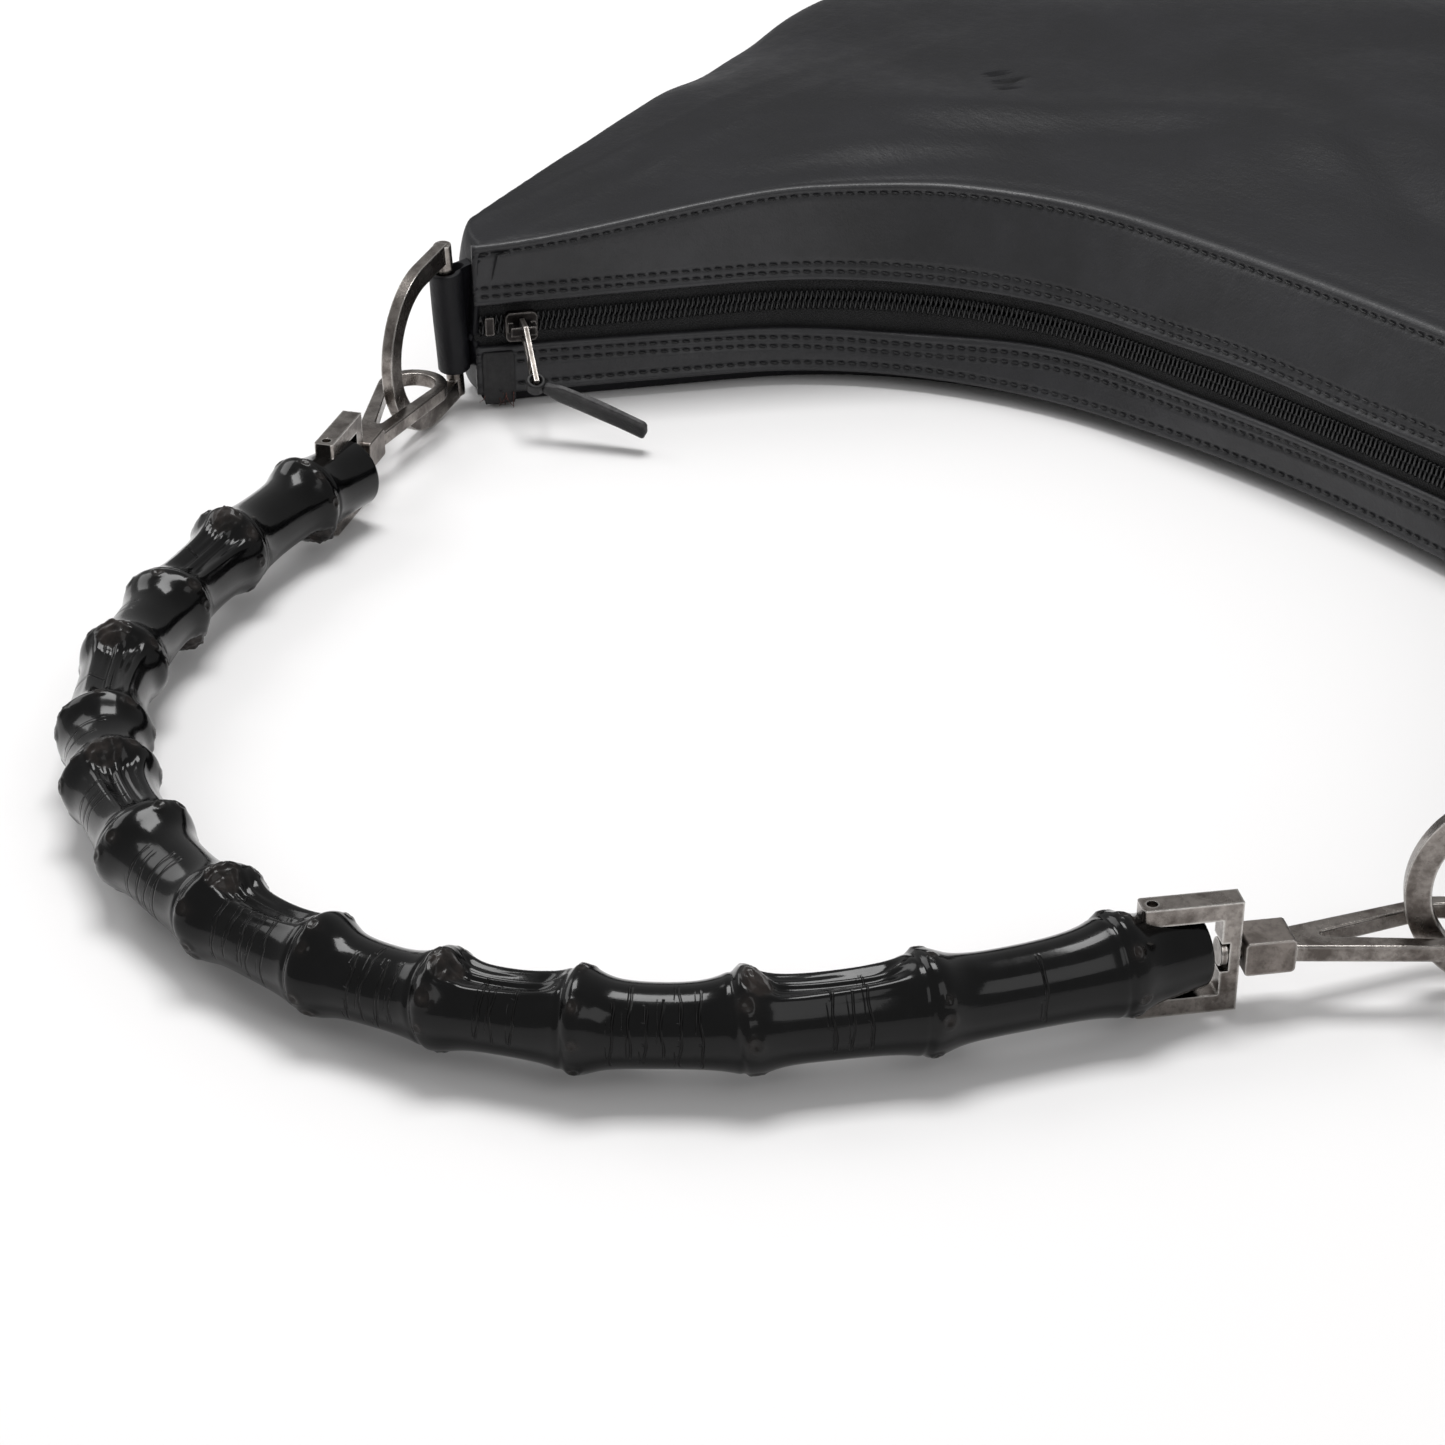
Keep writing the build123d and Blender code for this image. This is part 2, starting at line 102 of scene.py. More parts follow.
def evenly(path, step=None, count=None):
    # the same line with its points an equal length apart
    reach = np.concatenate([[0], np.cumsum(np.linalg.norm(np.diff(path, axis=0), axis=1))])
    count = count or int(reach[-1] / step) + 1
    wanted = np.linspace(0, reach[-1], count)
    return np.stack([np.interp(wanted, reach, path[:, k]) for k in range(path.shape[1])], -1)


def roundedOutline(width, height, radius, perSide=6, perCorner=4):
    # closed outline of a rectangle with round corners, centred, anticlockwise
    corners, w, h = [], width / 2 - radius, height / 2 - radius
    for k, (cx, cy) in enumerate([(w, h), (-w, h), (-w, -h), (w, -h)]):
        a = np.linspace(k * pi / 2, (k + 1) * pi / 2, perCorner + 1)
        corners.append(np.stack([cx + radius * np.cos(a), cy + radius * np.sin(a)], -1))
    line = []
    for k in range(4):
        line.append(corners[k])
        a, b = corners[k][-1], corners[(k + 1) % 4][0]
        share = np.linspace(0, 1, perSide + 1)[1:-1, None]
        line.append(a + (b - a) * share)
    return np.concatenate(line)


def carried(path, sideways, upright, profile):
    # a flat profile carried along a path: point = path + sideways * first + upright * second
    profile = np.broadcast_to(profile, (len(path),) + profile.shape[-2:])
    return (path[:, None] + sideways[:, None] * profile[..., :1] + upright[:, None] * profile[..., 1:])


def surfaceMesh(name, grid, around=True, along=False, caps=False, values=None):
    # grid (rows, columns, 3) in millimetres; each cell is a quad, and a cap is a fan to the end row's middle
    rows, cols = grid.shape[:2]
    r = np.arange(rows if along else rows - 1)[:, None]
    c = np.arange(cols if around else cols - 1)[None, :]
    r2, c2 = (r + 1) % rows, (c + 1) % cols
    quads = np.stack([r * cols + c, r * cols + c2, r2 * cols + c2, r2 * cols + c], -1).reshape(-1, 4)
    places = grid.reshape(-1, 3)
    stepsAlong = np.linalg.norm(np.roll(grid, -1, 0) - grid, axis=2).mean(1)
    stepsAround = np.linalg.norm(np.roll(grid, -1, 1) - grid, axis=2).mean(0)
    v = np.concatenate([[0], np.cumsum(stepsAlong)])
    u = np.concatenate([[0], np.cumsum(stepsAround)])
    u0, u1, v0, v1 = [np.broadcast_to(k, (len(r), c.shape[1])) for k in (u[c], u[c + 1], v[r], v[r + 1])]
    lengths = np.stack([u0, v0, u1, v0, u1, v1, u0, v1], -1).reshape(-1, 2)
    faces = quads.tolist()
    if caps:
        ring = np.arange(cols)
        for row, flip in ((0, True), (rows - 1, False)):
            middle = len(places)
            places = np.vstack([places, grid[row].mean(0)])
            a, b = row * cols + ring, row * cols + (ring + 1) % cols
            fan = np.stack([b, a, 0 * a + middle] if flip else [a, b, 0 * a + middle], -1)
            faces += fan.tolist()
            lengths = np.vstack([lengths, np.zeros((3 * cols, 2))])
    mesh = bpy.data.meshes.new(name)
    mesh.from_pydata((places * mm).tolist(), [], faces)
    mesh.uv_layers.new(name="lengths").data.foreach_set("uv", (lengths * mm * 10).astype(np.float32).ravel())
    for key, value in (values or {}).items():
        flat = np.zeros(len(places), np.float32)
        flat[:value.size] = value.ravel()
        mesh.attributes.new(key, "FLOAT", "POINT").data.foreach_set("value", flat)
    return mesh


def outwards(mesh):
    # a closed surface with its faces turned out
    bm = bmesh.new()
    bm.from_mesh(mesh)
    bmesh.ops.recalc_face_normals(bm, faces=bm.faces)
    bm.to_mesh(mesh)
    bm.free()
    return mesh


def addPiece(name, mesh, finish, body, nodes=(), sharpAngle=None):
    piece = bpy.data.objects.new(name, mesh)
    scene.collection.objects.link(piece)
    mesh.materials.clear()
    mesh.materials.append(finish)
    mesh.shade_smooth()
    if sharpAngle:
        mesh.set_sharp_from_angle(angle=radians(sharpAngle))
    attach(piece, body)
    if nodes:
        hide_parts(*nodes)
    return piece


def thicken(piece, depth):
    # gives a sheet its wall, towards its inner face
    wall = piece.modifiers.new("wall", "SOLIDIFY")
    wall.thickness, wall.offset, wall.use_even_offset = depth * mm, -1, False


def joined(name, meshes):
    # several meshes as one
    bm = bmesh.new()
    for mesh in meshes:
        bm.from_mesh(mesh)
    whole = bpy.data.meshes.new(name)
    bm.to_mesh(whole)
    bm.free()
    return whole


# finishes

def addNode(tree, kind, inputs=None, **settings):
    # one node with its settings; an input is given a value or the socket that feeds it
    node = tree.nodes.new(kind)
    for key, value in settings.items():
        setattr(node, key, value)
    for key, value in (inputs or {}).items():
        if isinstance(value, bpy.types.NodeSocket):
            tree.links.new(value, node.inputs[key])
        else:
            node.inputs[key].default_value = value
    return node


def newFinish(name, values):
    finish = bpy.data.materials.new(name)
    finish.use_nodes = True
    tree = finish.node_tree
    shader = tree.nodes["Principled BSDF"]
    for key, value in values.items():
        shader.inputs[key].default_value = value
    where = addNode(tree, "ShaderNodeTexCoord").outputs["Object"]
    return finish, tree, shader, where


def ramp(tree, source, low, high, first=0.0, last=1.0):
    # stretches a source from low..high to first..last
    return addNode(tree, "ShaderNodeMapRange", {0: source, 1: low, 2: high, 3: first, 4: last}).outputs[0]


def noise(tree, where, size, detail=3, rough=0.5):
    # cloudy pattern whose features are about size millimetres across
    return addNode(tree, "ShaderNodeTexNoise", {
        "Vector": where, "Scale": 1000 / size, "Detail": detail, "Roughness": rough}).outputs[0]


def sums(tree, kind, a, b):
    return addNode(tree, "ShaderNodeMath", {0: a, 1: b}, operation=kind).outputs[0]


def blendColour(tree, share, first, second):
    node = addNode(tree, "ShaderNodeMix", {0: share, 6: first, 7: second}, data_type="RGBA")
    return node.outputs[2]


def coloured(tree, shader, share, dark, light):
    # base colour between two hex tones by a share from 0 to 1
    tree.links.new(blendColour(tree, share, hexColour(dark), hexColour(light)), shader.inputs["Base Color"])


def raised(tree, shader, height, depth, strength=1.0):
    # bump of that depth in millimetres for a height from 0 to 1
    bump = addNode(tree, "ShaderNodeBump", {"Height": height, "Distance": depth * mm, "Strength": strength})
    tree.links.new(bump.outputs[0], shader.inputs["Normal"])
    return bump


def leather(name, look):
    # vegetable-tanned calf, aniline dyed black and plated smooth: satin, faint pores, soft creases
    finish, tree, shader, where = newFinish(name, {"IOR": 1.5, "Specular IOR Level": look["shine"]})
    cloud = noise(tree, where, look["cloud"], 3)
    rub = noise(tree, where, 9, 5, 0.65)
    tone = sums(tree, "ADD", ramp(tree, cloud, 0.3, 0.7, 0, 0.75), ramp(tree, rub, 0.45, 0.75, 0, 0.35))
    colour = blendColour(tree, tone, hexColour(look["dark"]), hexColour(look["light"]))
    if look.get("scuff"):
        nick = addNode(tree, "ShaderNodeAttribute", attribute_name="scuff").outputs["Fac"]
        colour = blendColour(tree, nick, colour, hexColour(look["scuff"]))
    if look.get("wear"):
        worn = addNode(tree, "ShaderNodeAttribute", attribute_name="wear").outputs["Fac"]
        broken = sums(tree, "MULTIPLY", worn, ramp(tree, noise(tree, where, 2.2, 4, 0.7), 0.3, 0.6, 0.35, 1))
        colour = blendColour(tree, broken, colour, hexColour(look["wear"]))
    tree.links.new(colour, shader.inputs["Base Color"])
    low, high = look["rough"]
    tree.links.new(ramp(tree, noise(tree, where, 5, 4, 0.6), 0.3, 0.7, low, high), shader.inputs["Roughness"])
    # pores are 0.2 mm, drawn 0.9 mm so that they show
    pores = addNode(tree, "ShaderNodeTexVoronoi", {
        "Vector": where, "Scale": 1000 / look["grain"]}).outputs["Distance"]
    stretched = addNode(tree, "ShaderNodeMapping", {"Vector": where, "Scale": (1.0, 1.6, 1.0)}).outputs[0]
    crease = noise(tree, stretched, 3.5, 5, 0.6)
    height = sums(tree, "ADD", ramp(tree, pores, 0, 0.6, 0, 0.25), ramp(tree, crease, 0.3, 0.7, 0, 0.75))
    raised(tree, shader, height, look["depth"])
    return finish


def agedMetal(name, look):
    # zinc casting with a gunmetal plating, antiqued and rubbed: satin, brown clouds, bright arrises
    finish, tree, shader, where = newFinish(name, {"Metallic": 1.0})
    cloud = noise(tree, where, 7, 5, 0.62)
    speck = noise(tree, where, 1.3, 4, 0.7)
    body = blendColour(tree, ramp(tree, cloud, 0.38, 0.62), hexColour(look["dark"]),
                       hexColour(look["middle"]))
    body = blendColour(tree, ramp(tree, speck, 0.5, 0.72, 0, 0.55), body, hexColour(look["spot"]))
    facing = addNode(tree, "ShaderNodeNewGeometry").outputs["Normal"]
    soft = addNode(tree, "ShaderNodeBevel", {"Radius": 0.0009}, samples=6).outputs[0]
    turn = addNode(tree, "ShaderNodeVectorMath", {0: facing, 1: soft},
                   operation="DOT_PRODUCT").outputs["Value"]
    arris = sums(tree, "MULTIPLY", ramp(tree, turn, 0.995, 0.88), ramp(tree, speck, 0.3, 0.55, 0.45, 1))
    colour = blendColour(tree, arris, body, hexColour(look["worn"]))
    tree.links.new(colour, shader.inputs["Base Color"])
    dull = sums(tree, "SUBTRACT", ramp(tree, cloud, 0.3, 0.7, look["rough"][1], look["rough"][0]),
                sums(tree, "MULTIPLY", arris, 0.1))
    tree.links.new(dull, shader.inputs["Roughness"])
    scratch = addNode(tree, "ShaderNodeMapping", {
        "Vector": where, "Rotation": (0.4, 0.2, 0.7), "Scale": (1, 9, 1)})
    lines = noise(tree, scratch.outputs[0], 2.0, 3, 0.6)
    raised(tree, shader, sums(tree, "ADD", lines, sums(tree, "MULTIPLY", speck, 0.8)), 0.035)
    return finish


def wovenCloth(name, look):
    # plain or twill weave; the thread pitch is drawn no finer than 0.6 mm so that it shows
    finish, tree, shader, where = newFinish(name, {
        "Roughness": 0.82, "IOR": 1.5, "Sheen Weight": look["sheen"]})
    lengths = addNode(tree, "ShaderNodeUVMap", uv_map="lengths").outputs[0]
    threads = []
    for turn in look["turns"]:
        turned = addNode(tree, "ShaderNodeMapping", {"Vector": lengths, "Rotation": (0, 0, turn)}).outputs[0]
        threads.append(addNode(tree, "ShaderNodeTexWave", {
            "Vector": turned, "Scale": 2 * pi / 20 / (look["pitch"] * mm * 10), "Distortion": 0.6}).outputs[1])
    weave = sums(tree, "MULTIPLY", threads[0], threads[1])
    tone = sums(tree, "ADD", sums(tree, "MULTIPLY", weave, 0.7),
                ramp(tree, noise(tree, where, 4, 4), 0.3, 0.7, 0, 0.5))
    coloured(tree, shader, tone, look["dark"], look["light"])
    raised(tree, shader, weave, 0.12)
    return finish


def lacquer(name):
    # bamboo root cane under black urushi-like lacquer: deep gloss, hairline checks, faint long fibres
    finish, tree, shader, where = newFinish(name, {
        "IOR": 1.5, "Coat Weight": 0.2, "Coat Roughness": 0.06, "Specular IOR Level": 0.16})
    lengths = addNode(tree, "ShaderNodeUVMap", uv_map="lengths").outputs[0]
    fibre = addNode(tree, "ShaderNodeMapping", {"Vector": lengths, "Scale": (9, 0.5, 1)}).outputs[0]
    grain = addNode(tree, "ShaderNodeTexNoise", {"Vector": fibre, "Scale": 10, "Detail": 4}).outputs[0]
    mottle = noise(tree, where, 6, 5, 0.65)
    check = addNode(tree, "ShaderNodeAttribute", attribute_name="check").outputs["Fac"]
    opened = addNode(tree, "ShaderNodeAttribute", attribute_name="checkDepth").outputs["Fac"]
    wart = addNode(tree, "ShaderNodeAttribute", attribute_name="scar").outputs["Fac"]
    near = sums(tree, "ABSOLUTE", check, 0.0)
    line = sums(tree, "MULTIPLY", ramp(tree, near, 0.1, 0.3, 1, 0), opened)
    colour = blendColour(tree, ramp(tree, mottle, 0.35, 0.75), hexColour("020202"), hexColour("070708"))
    colour = blendColour(tree, sums(tree, "MULTIPLY", wart, ramp(tree, mottle, 0.4, 0.6, 0.2, 0.9)),
                         colour, hexColour("2a2421"))
    colour = blendColour(tree, line, colour, hexColour("040303"))
    tree.links.new(colour, shader.inputs["Base Color"])
    rough = sums(tree, "ADD", ramp(tree, mottle, 0.3, 0.75, 0.12, 0.22), sums(tree, "MULTIPLY", wart, 0.25))
    tree.links.new(sums(tree, "ADD", rough, sums(tree, "MULTIPLY", line, 0.4)), shader.inputs["Roughness"])
    height = sums(tree, "ADD", sums(tree, "MULTIPLY", grain, 0.1), sums(tree, "MULTIPLY", mottle, 0.12))
    bump = raised(tree, shader, sums(tree, "SUBTRACT", height, line), 0.25)
    tree.links.new(bump.outputs[0], shader.inputs["Coat Normal"])
    return finish


finishes = {
    "calf_leather": leather("smoothBlackCalf", dict(
        dark="0f0f12", light="18181c", shine=0.22, cloud=45, rough=(0.42, 0.52), grain=0.9, depth=0.10,
        scuff="030303")),
    # the band is the panel's black calf with its base colour raised: painted light, standing in for the brighter
    # light on the band's upright faces
    "band_leather": leather("bandBlackCalfPaintedLighter", dict(
        dark="1e1e20", light="2b2b2e", shine=0.5, cloud=30, rough=(0.38, 0.48), grain=0.8, depth=0.10)),
    "tab_leather": leather("wornBlackCalf", dict(
        dark="0b0b0c", light="141416", shine=0.35, cloud=12, rough=(0.45, 0.6), grain=0.8, depth=0.14,
        wear="4a494a")),
    "zip_tape": wovenCloth("twilledPolyesterTape", dict(
        dark="060607", light="121214", pitch=0.8, turns=(0.6, 2.2), sheen=0.15)),
    "lining_cloth": wovenCloth("blackCottonTwill", dict(
        dark="0c0c0e", light="1e1e20", pitch=1.0, turns=(0.3, 1.9), sheen=0.3)),
    "gunmetal": agedMetal("agedGunmetalPlating", dict(
        dark="5a5450", middle="98928d", spot="4c4642", worn="d2cfcb", rough=(0.2, 0.34))),
    "dark_gunmetal": agedMetal("darkGunmetalPlating", dict(
        dark="5a5450", middle="847d78", spot="4a4440", worn="bbb7b3", rough=(0.3, 0.45))),
    "lacquered_cane": lacquer("blackLacqueredBamboo"),
}


def nylon(name):
    # nylon monofilament, extruded and dyed black: even, half gloss
    finish, tree, shader, where = newFinish(name, {"IOR": 1.53})
    mottle = noise(tree, where, 1.5, 3)
    coloured(tree, shader, mottle, "0a0a0b", "18181a")
    tree.links.new(ramp(tree, mottle, 0.3, 0.7, 0.25, 0.4), shader.inputs["Roughness"])
    return finish


def thread(name, dark, light):
    # bonded polyester sewing thread: dull, with its plies turning round it
    finish, tree, shader, _ = newFinish(name, {"Roughness": 0.62, "IOR": 1.5})
    lengths = addNode(tree, "ShaderNodeUVMap", uv_map="lengths").outputs[0]
    turned = addNode(tree, "ShaderNodeMapping", {"Vector": lengths, "Rotation": (0, 0, 0.6)}).outputs[0]
    plies = addNode(tree, "ShaderNodeTexWave", {"Vector": turned, "Scale": 60}).outputs[1]
    coloured(tree, shader, plies, dark, light)
    raised(tree, shader, plies, 0.05)
    return finish


finishes["zip_slider"] = agedMetal("blackenedZipMetal", dict(
    dark="1e1c1b", middle="393635", spot="161514", worn="8a8683", rough=(0.38, 0.5)))
finishes["zip_puller"] = agedMetal("rubbedPullerPlating", dict(
    dark="4e4945", middle="7c7772", spot="3c3835", worn="b5b1ad", rough=(0.42, 0.55)))
finishes["zip_coil"] = nylon("dyedNylonMonofilament")
finishes["thread"] = thread("blackBondedThread", "0b0b0c", "1f1f21")
finishes["fray"] = thread("frayedBrownThread", "3a201c", "6b4038")
print("finishes ready:", len(finishes))


# the mouth line, which bands, tapes, coils and stitches follow

mouth = dict(
    middle=66.0, shoulder=(60.0, 63.7), corner=(150.0, 3.7), ear=(183.3, -59.5),
    arcCentre=(49.86, -49.0), arcRadius=113.16,
)


def mouthDepth(x):
    # Y of the mouth at X: a flat middle, an arc at each shoulder, a straight leg to the ear
    x = np.abs(x)
    flat = mouth["middle"] - (mouth["middle"] - mouth["shoulder"][1]) * (x / mouth["shoulder"][0]) ** 2
    cx, cy = mouth["arcCentre"]
    arc = cy + np.sqrt(np.maximum(mouth["arcRadius"] ** 2 - (x - cx) ** 2, 0))
    (ax, ay), (bx, by) = mouth["corner"], mouth["ear"]
    leg = ay + (by - ay) * (x - ax) / (bx - ax)
    return np.where(x <= mouth["shoulder"][0], flat, np.where(x <= ax, arc, leg))


xs = np.linspace(-mouth["ear"][0], mouth["ear"][0], 4001)
mouthLine = evenly(np.stack([xs, mouthDepth(xs)], -1), step=1.25)
mouthHeading = unit(np.gradient(mouthLine, axis=0))
mouthOut = np.stack([mouthHeading[:, 1], -mouthHeading[:, 0]], -1)  # towards the hand
mouthReach = np.concatenate([[0], np.cumsum(np.linalg.norm(np.diff(mouthLine, axis=0), axis=1))])
mouthPath = np.column_stack([mouthLine, np.zeros(len(mouthLine))])
outward = np.column_stack([mouthOut, np.zeros(len(mouthOut))])
upward = np.tile([0.0, 0.0, 1.0], (len(mouthOut), 1))


def bandTop(x):
    # height of the upper seam: level along the mouth, then down to each ear
    return 57.0 - 9.5 * ease(np.abs(x), 138, 184)


def bandLean(x, z):
    # how far the front band leans back from the mouth line: most at its upper seam, away from the ears
    return 9.5 * (1 - ease(np.abs(x), 112, 152)) * np.clip((z - 30) / 27, 0, 1.1) ** 1.2


# bands: folded leather strips along the mouth

bandLook = dict(thick=1.9, round=0.8, wave=0.28, stitchIn=2.6, secondStitch=5.0, groove=0.38, puff=0.3)


def bandFace(reach, z, low, high, seed, topRows, lowRows):
    # relief of the outer face: slow unevenness, a groove at each stitch line and a soft roll along each edge
    up, down = z - low, high - z
    relief = bandLook["wave"] * swell(reach, z, 75, seed) * ease(up, 0, 7) * ease(down, 0, 7)
    for distance, rows in ((down, topRows), (up, lowRows)):
        for line in (bandLook["stitchIn"], bandLook["secondStitch"])[:rows]:
            relief = relief - bandLook["groove"] * hill(distance - line, 0.75)
        relief = relief + bandLook["puff"] * hill(distance - 1.2, 1.1)
    return relief


def sag(x, z):
    # the back band bulges towards the hand where the bag's weight spreads it
    return 5.0 * hill(x + 95, 60) * (1 - ease(z, 3, 19)) + 3.0 * hill(x - 95, 60) * (1 - ease(z, 3, 19))


def bandGrid(low, high, seed, topRows, lowRows):
    # rounded outline carried along the mouth; corners keep their size and the middle stretches to the height
    shape = roundedOutline(bandLook["thick"], 20, bandLook["round"], 44, 6)
    share = (shape[:, 1] / 20 + 0.5)[None, :]
    height = (high - low)[:, None]
    z = low[:, None] + np.where(share < 0.15, share * 20, np.where(
        share > 0.85, height - (1 - share) * 20, 3 + (share - 0.15) / 0.7 * (height - 6)))
    front = np.clip(shape[None, :, 0] / bandLook["thick"] + 0.5, 0, 1)
    out = shape[None, :, 0] - bandLook["thick"] / 2
    out = out + front * bandFace(mouthReach[:, None], z, low[:, None], high[:, None], seed, topRows, lowRows)
    return bandPlace(mouthPath[:, None], outward[:, None], out, z)


def bandPlace(path, out, amount, z):
    # a point of a band from its place on the mouth line, its distance out and its height
    x = path[..., 0]
    return path + out * (amount + sag(x, z))[..., None] + np.stack([0 * z, bandLean(x, z), z], -1)


def stitches(path, normals, pitch=3.1, long=2.35, wide=0.62, sink=0.12):
    # small bent capsules, one template laid at equal steps along a line on a surface
    reach = np.concatenate([[0], np.cumsum(np.linalg.norm(np.diff(path, axis=0), axis=1))])
    at = np.arange(pitch, reach[-1] - pitch, pitch)
    place = np.stack([np.interp(at, reach, path[:, k]) for k in range(3)], -1)
    heading = unit(np.stack([np.interp(at, reach, np.gradient(path[:, k])) for k in range(3)], -1))
    normal = np.stack([np.interp(at, reach, normals[:, k]) for k in range(3)], -1)
    normal = unit(normal - heading * (normal * heading).sum(1, keepdims=True))
    side = np.cross(heading, normal)
    run = np.linspace(-1, 1, 6)
    turn = np.linspace(0, 2 * pi, 6, endpoint=False)
    thick = wide / 2 * np.sqrt(np.clip(1.04 - run ** 4, 0.03, 1))
    lift = wide * (0.32 * (1 - run ** 2)) - sink
    along = np.repeat(run * long / 2, len(turn))
    across = (thick[:, None] * np.cos(turn)).ravel()
    above = (lift[:, None] + 0.8 * thick[:, None] * np.sin(turn)).ravel()
    skew = 0.10 * along
    local = np.stack([along, across + skew, above], -1)
    points = (place[:, None] + heading[:, None] * local[None, :, :1] + side[:, None] * local[None, :, 1:2]
              + normal[:, None] * local[None, :, 2:])
    cols, rows = len(turn), len(run)
    r, c = np.arange(rows - 1)[:, None], np.arange(cols)[None, :]
    c2 = (c + 1) % cols
    quads = np.stack([r * cols + c, r * cols + c2, (r + 1) * cols + c2, (r + 1) * cols + c], -1).reshape(-1, 4)
    every = (quads[None] + (np.arange(len(at)) * rows * cols)[:, None, None]).reshape(-1, 4)
    ends = np.stack([np.arange(cols)[::-1], np.arange(cols) + (rows - 1) * cols])
    ends = (ends[None] + (np.arange(len(at)) * rows * cols)[:, None, None]).reshape(-1, cols)
    mesh = bpy.data.meshes.new("stitches")
    mesh.from_pydata((points.reshape(-1, 3) * mm).tolist(), [], every.tolist() + ends.tolist())
    uv = mesh.uv_layers.new(name="lengths")
    flat = np.empty(len(mesh.loops) * 2, np.float32)
    index = np.empty(len(mesh.loops), np.int32)
    mesh.loops.foreach_get("vertex_index", index)
    flat[0::2], flat[1::2] = (index % cols) * 0.003, (index // cols % rows) * 0.005
    uv.data.foreach_set("uv", flat)
    return outwards(mesh)


levels = dict(frontLow=30.0, backLow=4.0, backHigh=18.0, zip=24.0)
x = mouthLine[:, 0]
frontLow = np.full(len(x), levels["frontLow"]) + 0.5 * swell(mouthReach, 0, 90, 3) * hill(x, 120)
frontHigh = bandTop(x)
backLow = np.full(len(x), levels["backLow"])
backHigh = levels["backHigh"] - 2.5 * hill(x + 125, 32) + 0.5 * swell(mouthReach, 0, 70, 5) * hill(x, 120)
frontBandGrid = bandGrid(frontLow, frontHigh, 11, 1, 2)
backBandGrid = bandGrid(backLow, backHigh, 21, 2, 1)
addPiece("frontBandLeather", outwards(surfaceMesh("frontBandLeather", frontBandGrid, caps=True)),
         finishes["band_leather"], "bag", ["front_band"])
addPiece("backBandLeather", outwards(surfaceMesh("backBandLeather", backBandGrid, caps=True)),
         finishes["band_leather"], "bag", ["back_band"])


def bandSeam(low, high, seed, distance, fromTop):
    # line on a band's outer face, a fixed distance from one edge, sunk in its groove
    z = high - distance if fromTop else low + distance
    relief = bandFace(mouthReach, z, low, high, seed, 0, 0)
    return bandPlace(mouthPath, outward, relief + 0.05, z)


seams = []
for low, high, seed, topRows, lowRows in ((frontLow, frontHigh, 11, 1, 2), (backLow, backHigh, 21, 2, 1)):
    for rows, fromTop in ((topRows, True), (lowRows, False)):
        for distance in (bandLook["stitchIn"], bandLook["secondStitch"])[:rows]:
            seams.append(stitches(bandSeam(low, high, seed, distance, fromTop), outward))
addPiece("bandStitching", joined("bandStitching", seams), finishes["thread"], "bag")
print("bands and their stitching done")


# zip: tapes and coils

zipLook = dict(tapeIn=2.0, tapeThick=0.7, tapeReach=11.0, pitch=1.45, filament=0.36, loopDeep=0.62,
               loopTall=1.45)


def tapeGrid(low, high):
    # thin rounded strip behind the band's edge, a little wavy along the mouth
    shape = roundedOutline(zipLook["tapeThick"], high - low, 0.3, 14, 3)
    out = shape[:, 0] - zipLook["tapeIn"] - zipLook["tapeThick"] / 2
    z = shape[:, 1] + (low + high) / 2
    wavy = 0.12 * swell(mouthReach, 0, 22, 31)[:, None]
    return (mouthPath[:, None] + outward[:, None] * (out[None] + wavy)[..., None]
            + upward[:, None] * z[None, :, None])


def coilGrid(sign, phase):
    # monofilament wound into flat loops: depth and height follow a circle while it moves along the mouth
    turns = int(mouthReach[-1] / zipLook["pitch"]) - 2
    angle = np.linspace(0, turns * 2 * pi, turns * 12 + 1) + phase
    along = zipLook["pitch"] * (1 + (angle - phase) / (2 * pi))
    base = np.stack([np.interp(along, mouthReach, mouthPath[:, k]) for k in range(3)], -1)
    out = np.stack([np.interp(along, mouthReach, outward[:, k]) for k in range(3)], -1)
    centre = levels["zip"] + sign * 1.25
    line = base + out * (-1.15 + zipLook["loopDeep"] * np.cos(angle))[:, None]
    line[:, 2] = centre + zipLook["loopTall"] * np.sin(angle) * (1 + 0.12 * np.cos(angle))
    heading = unit(np.gradient(line, axis=0))
    mouthAlong = np.cross(out, [0, 0, 1])
    side = unit(np.cross(heading, mouthAlong))
    top = np.cross(heading, side)
    a = np.linspace(0, 2 * pi, 6, endpoint=False)
    ring = np.stack([np.cos(a), np.sin(a)], -1) * zipLook["filament"]
    return carried(line, side, top, ring)


for side, sign in (("front", 1), ("back", -1)):
    edge = levels["zip"] + sign * 0.6
    low, high = sorted((edge, edge + sign * zipLook["tapeReach"]))
    for part, grid in (("tape", tapeGrid(low, high)), ("coil", coilGrid(sign, 0 if sign > 0 else pi))):
        name = side + "Zip" + part.capitalize()
        addPiece(name, outwards(surfaceMesh(name, grid, caps=True)), finishes["zip_" + part], "bag",
                 [side + "_zip_" + part])
print("zip done")


# bag body: front and back panels, linings, pocket

body = dict(seam=20.0, crest=78.0, halfWidth=266.0, inset=0.6, bottom=275.7, waist=165.0, sideSlope=2.7,
            earInner=(183.3, -59.5), earOuter=(196.5, -56.0), columns=300, rows=150, wall=1.6)
creases = [  # start X, Y, end X, Y, half width, depth
    (-60, 150, 20, 92, 9, 1.6), (-10, 120, 90, 86, 7, 1.3), (40, 168, 140, 70, 11, 1.7),
    (-150, 60, -70, 120, 9, 1.5), (-165, 0, -120, 60, 8, 1.2), (100, 120, 170, 40, 8, 1.4),
    (-110, 190, -20, 215, 16, 1.6), (30, 225, 150, 190, 15, 1.8),
]


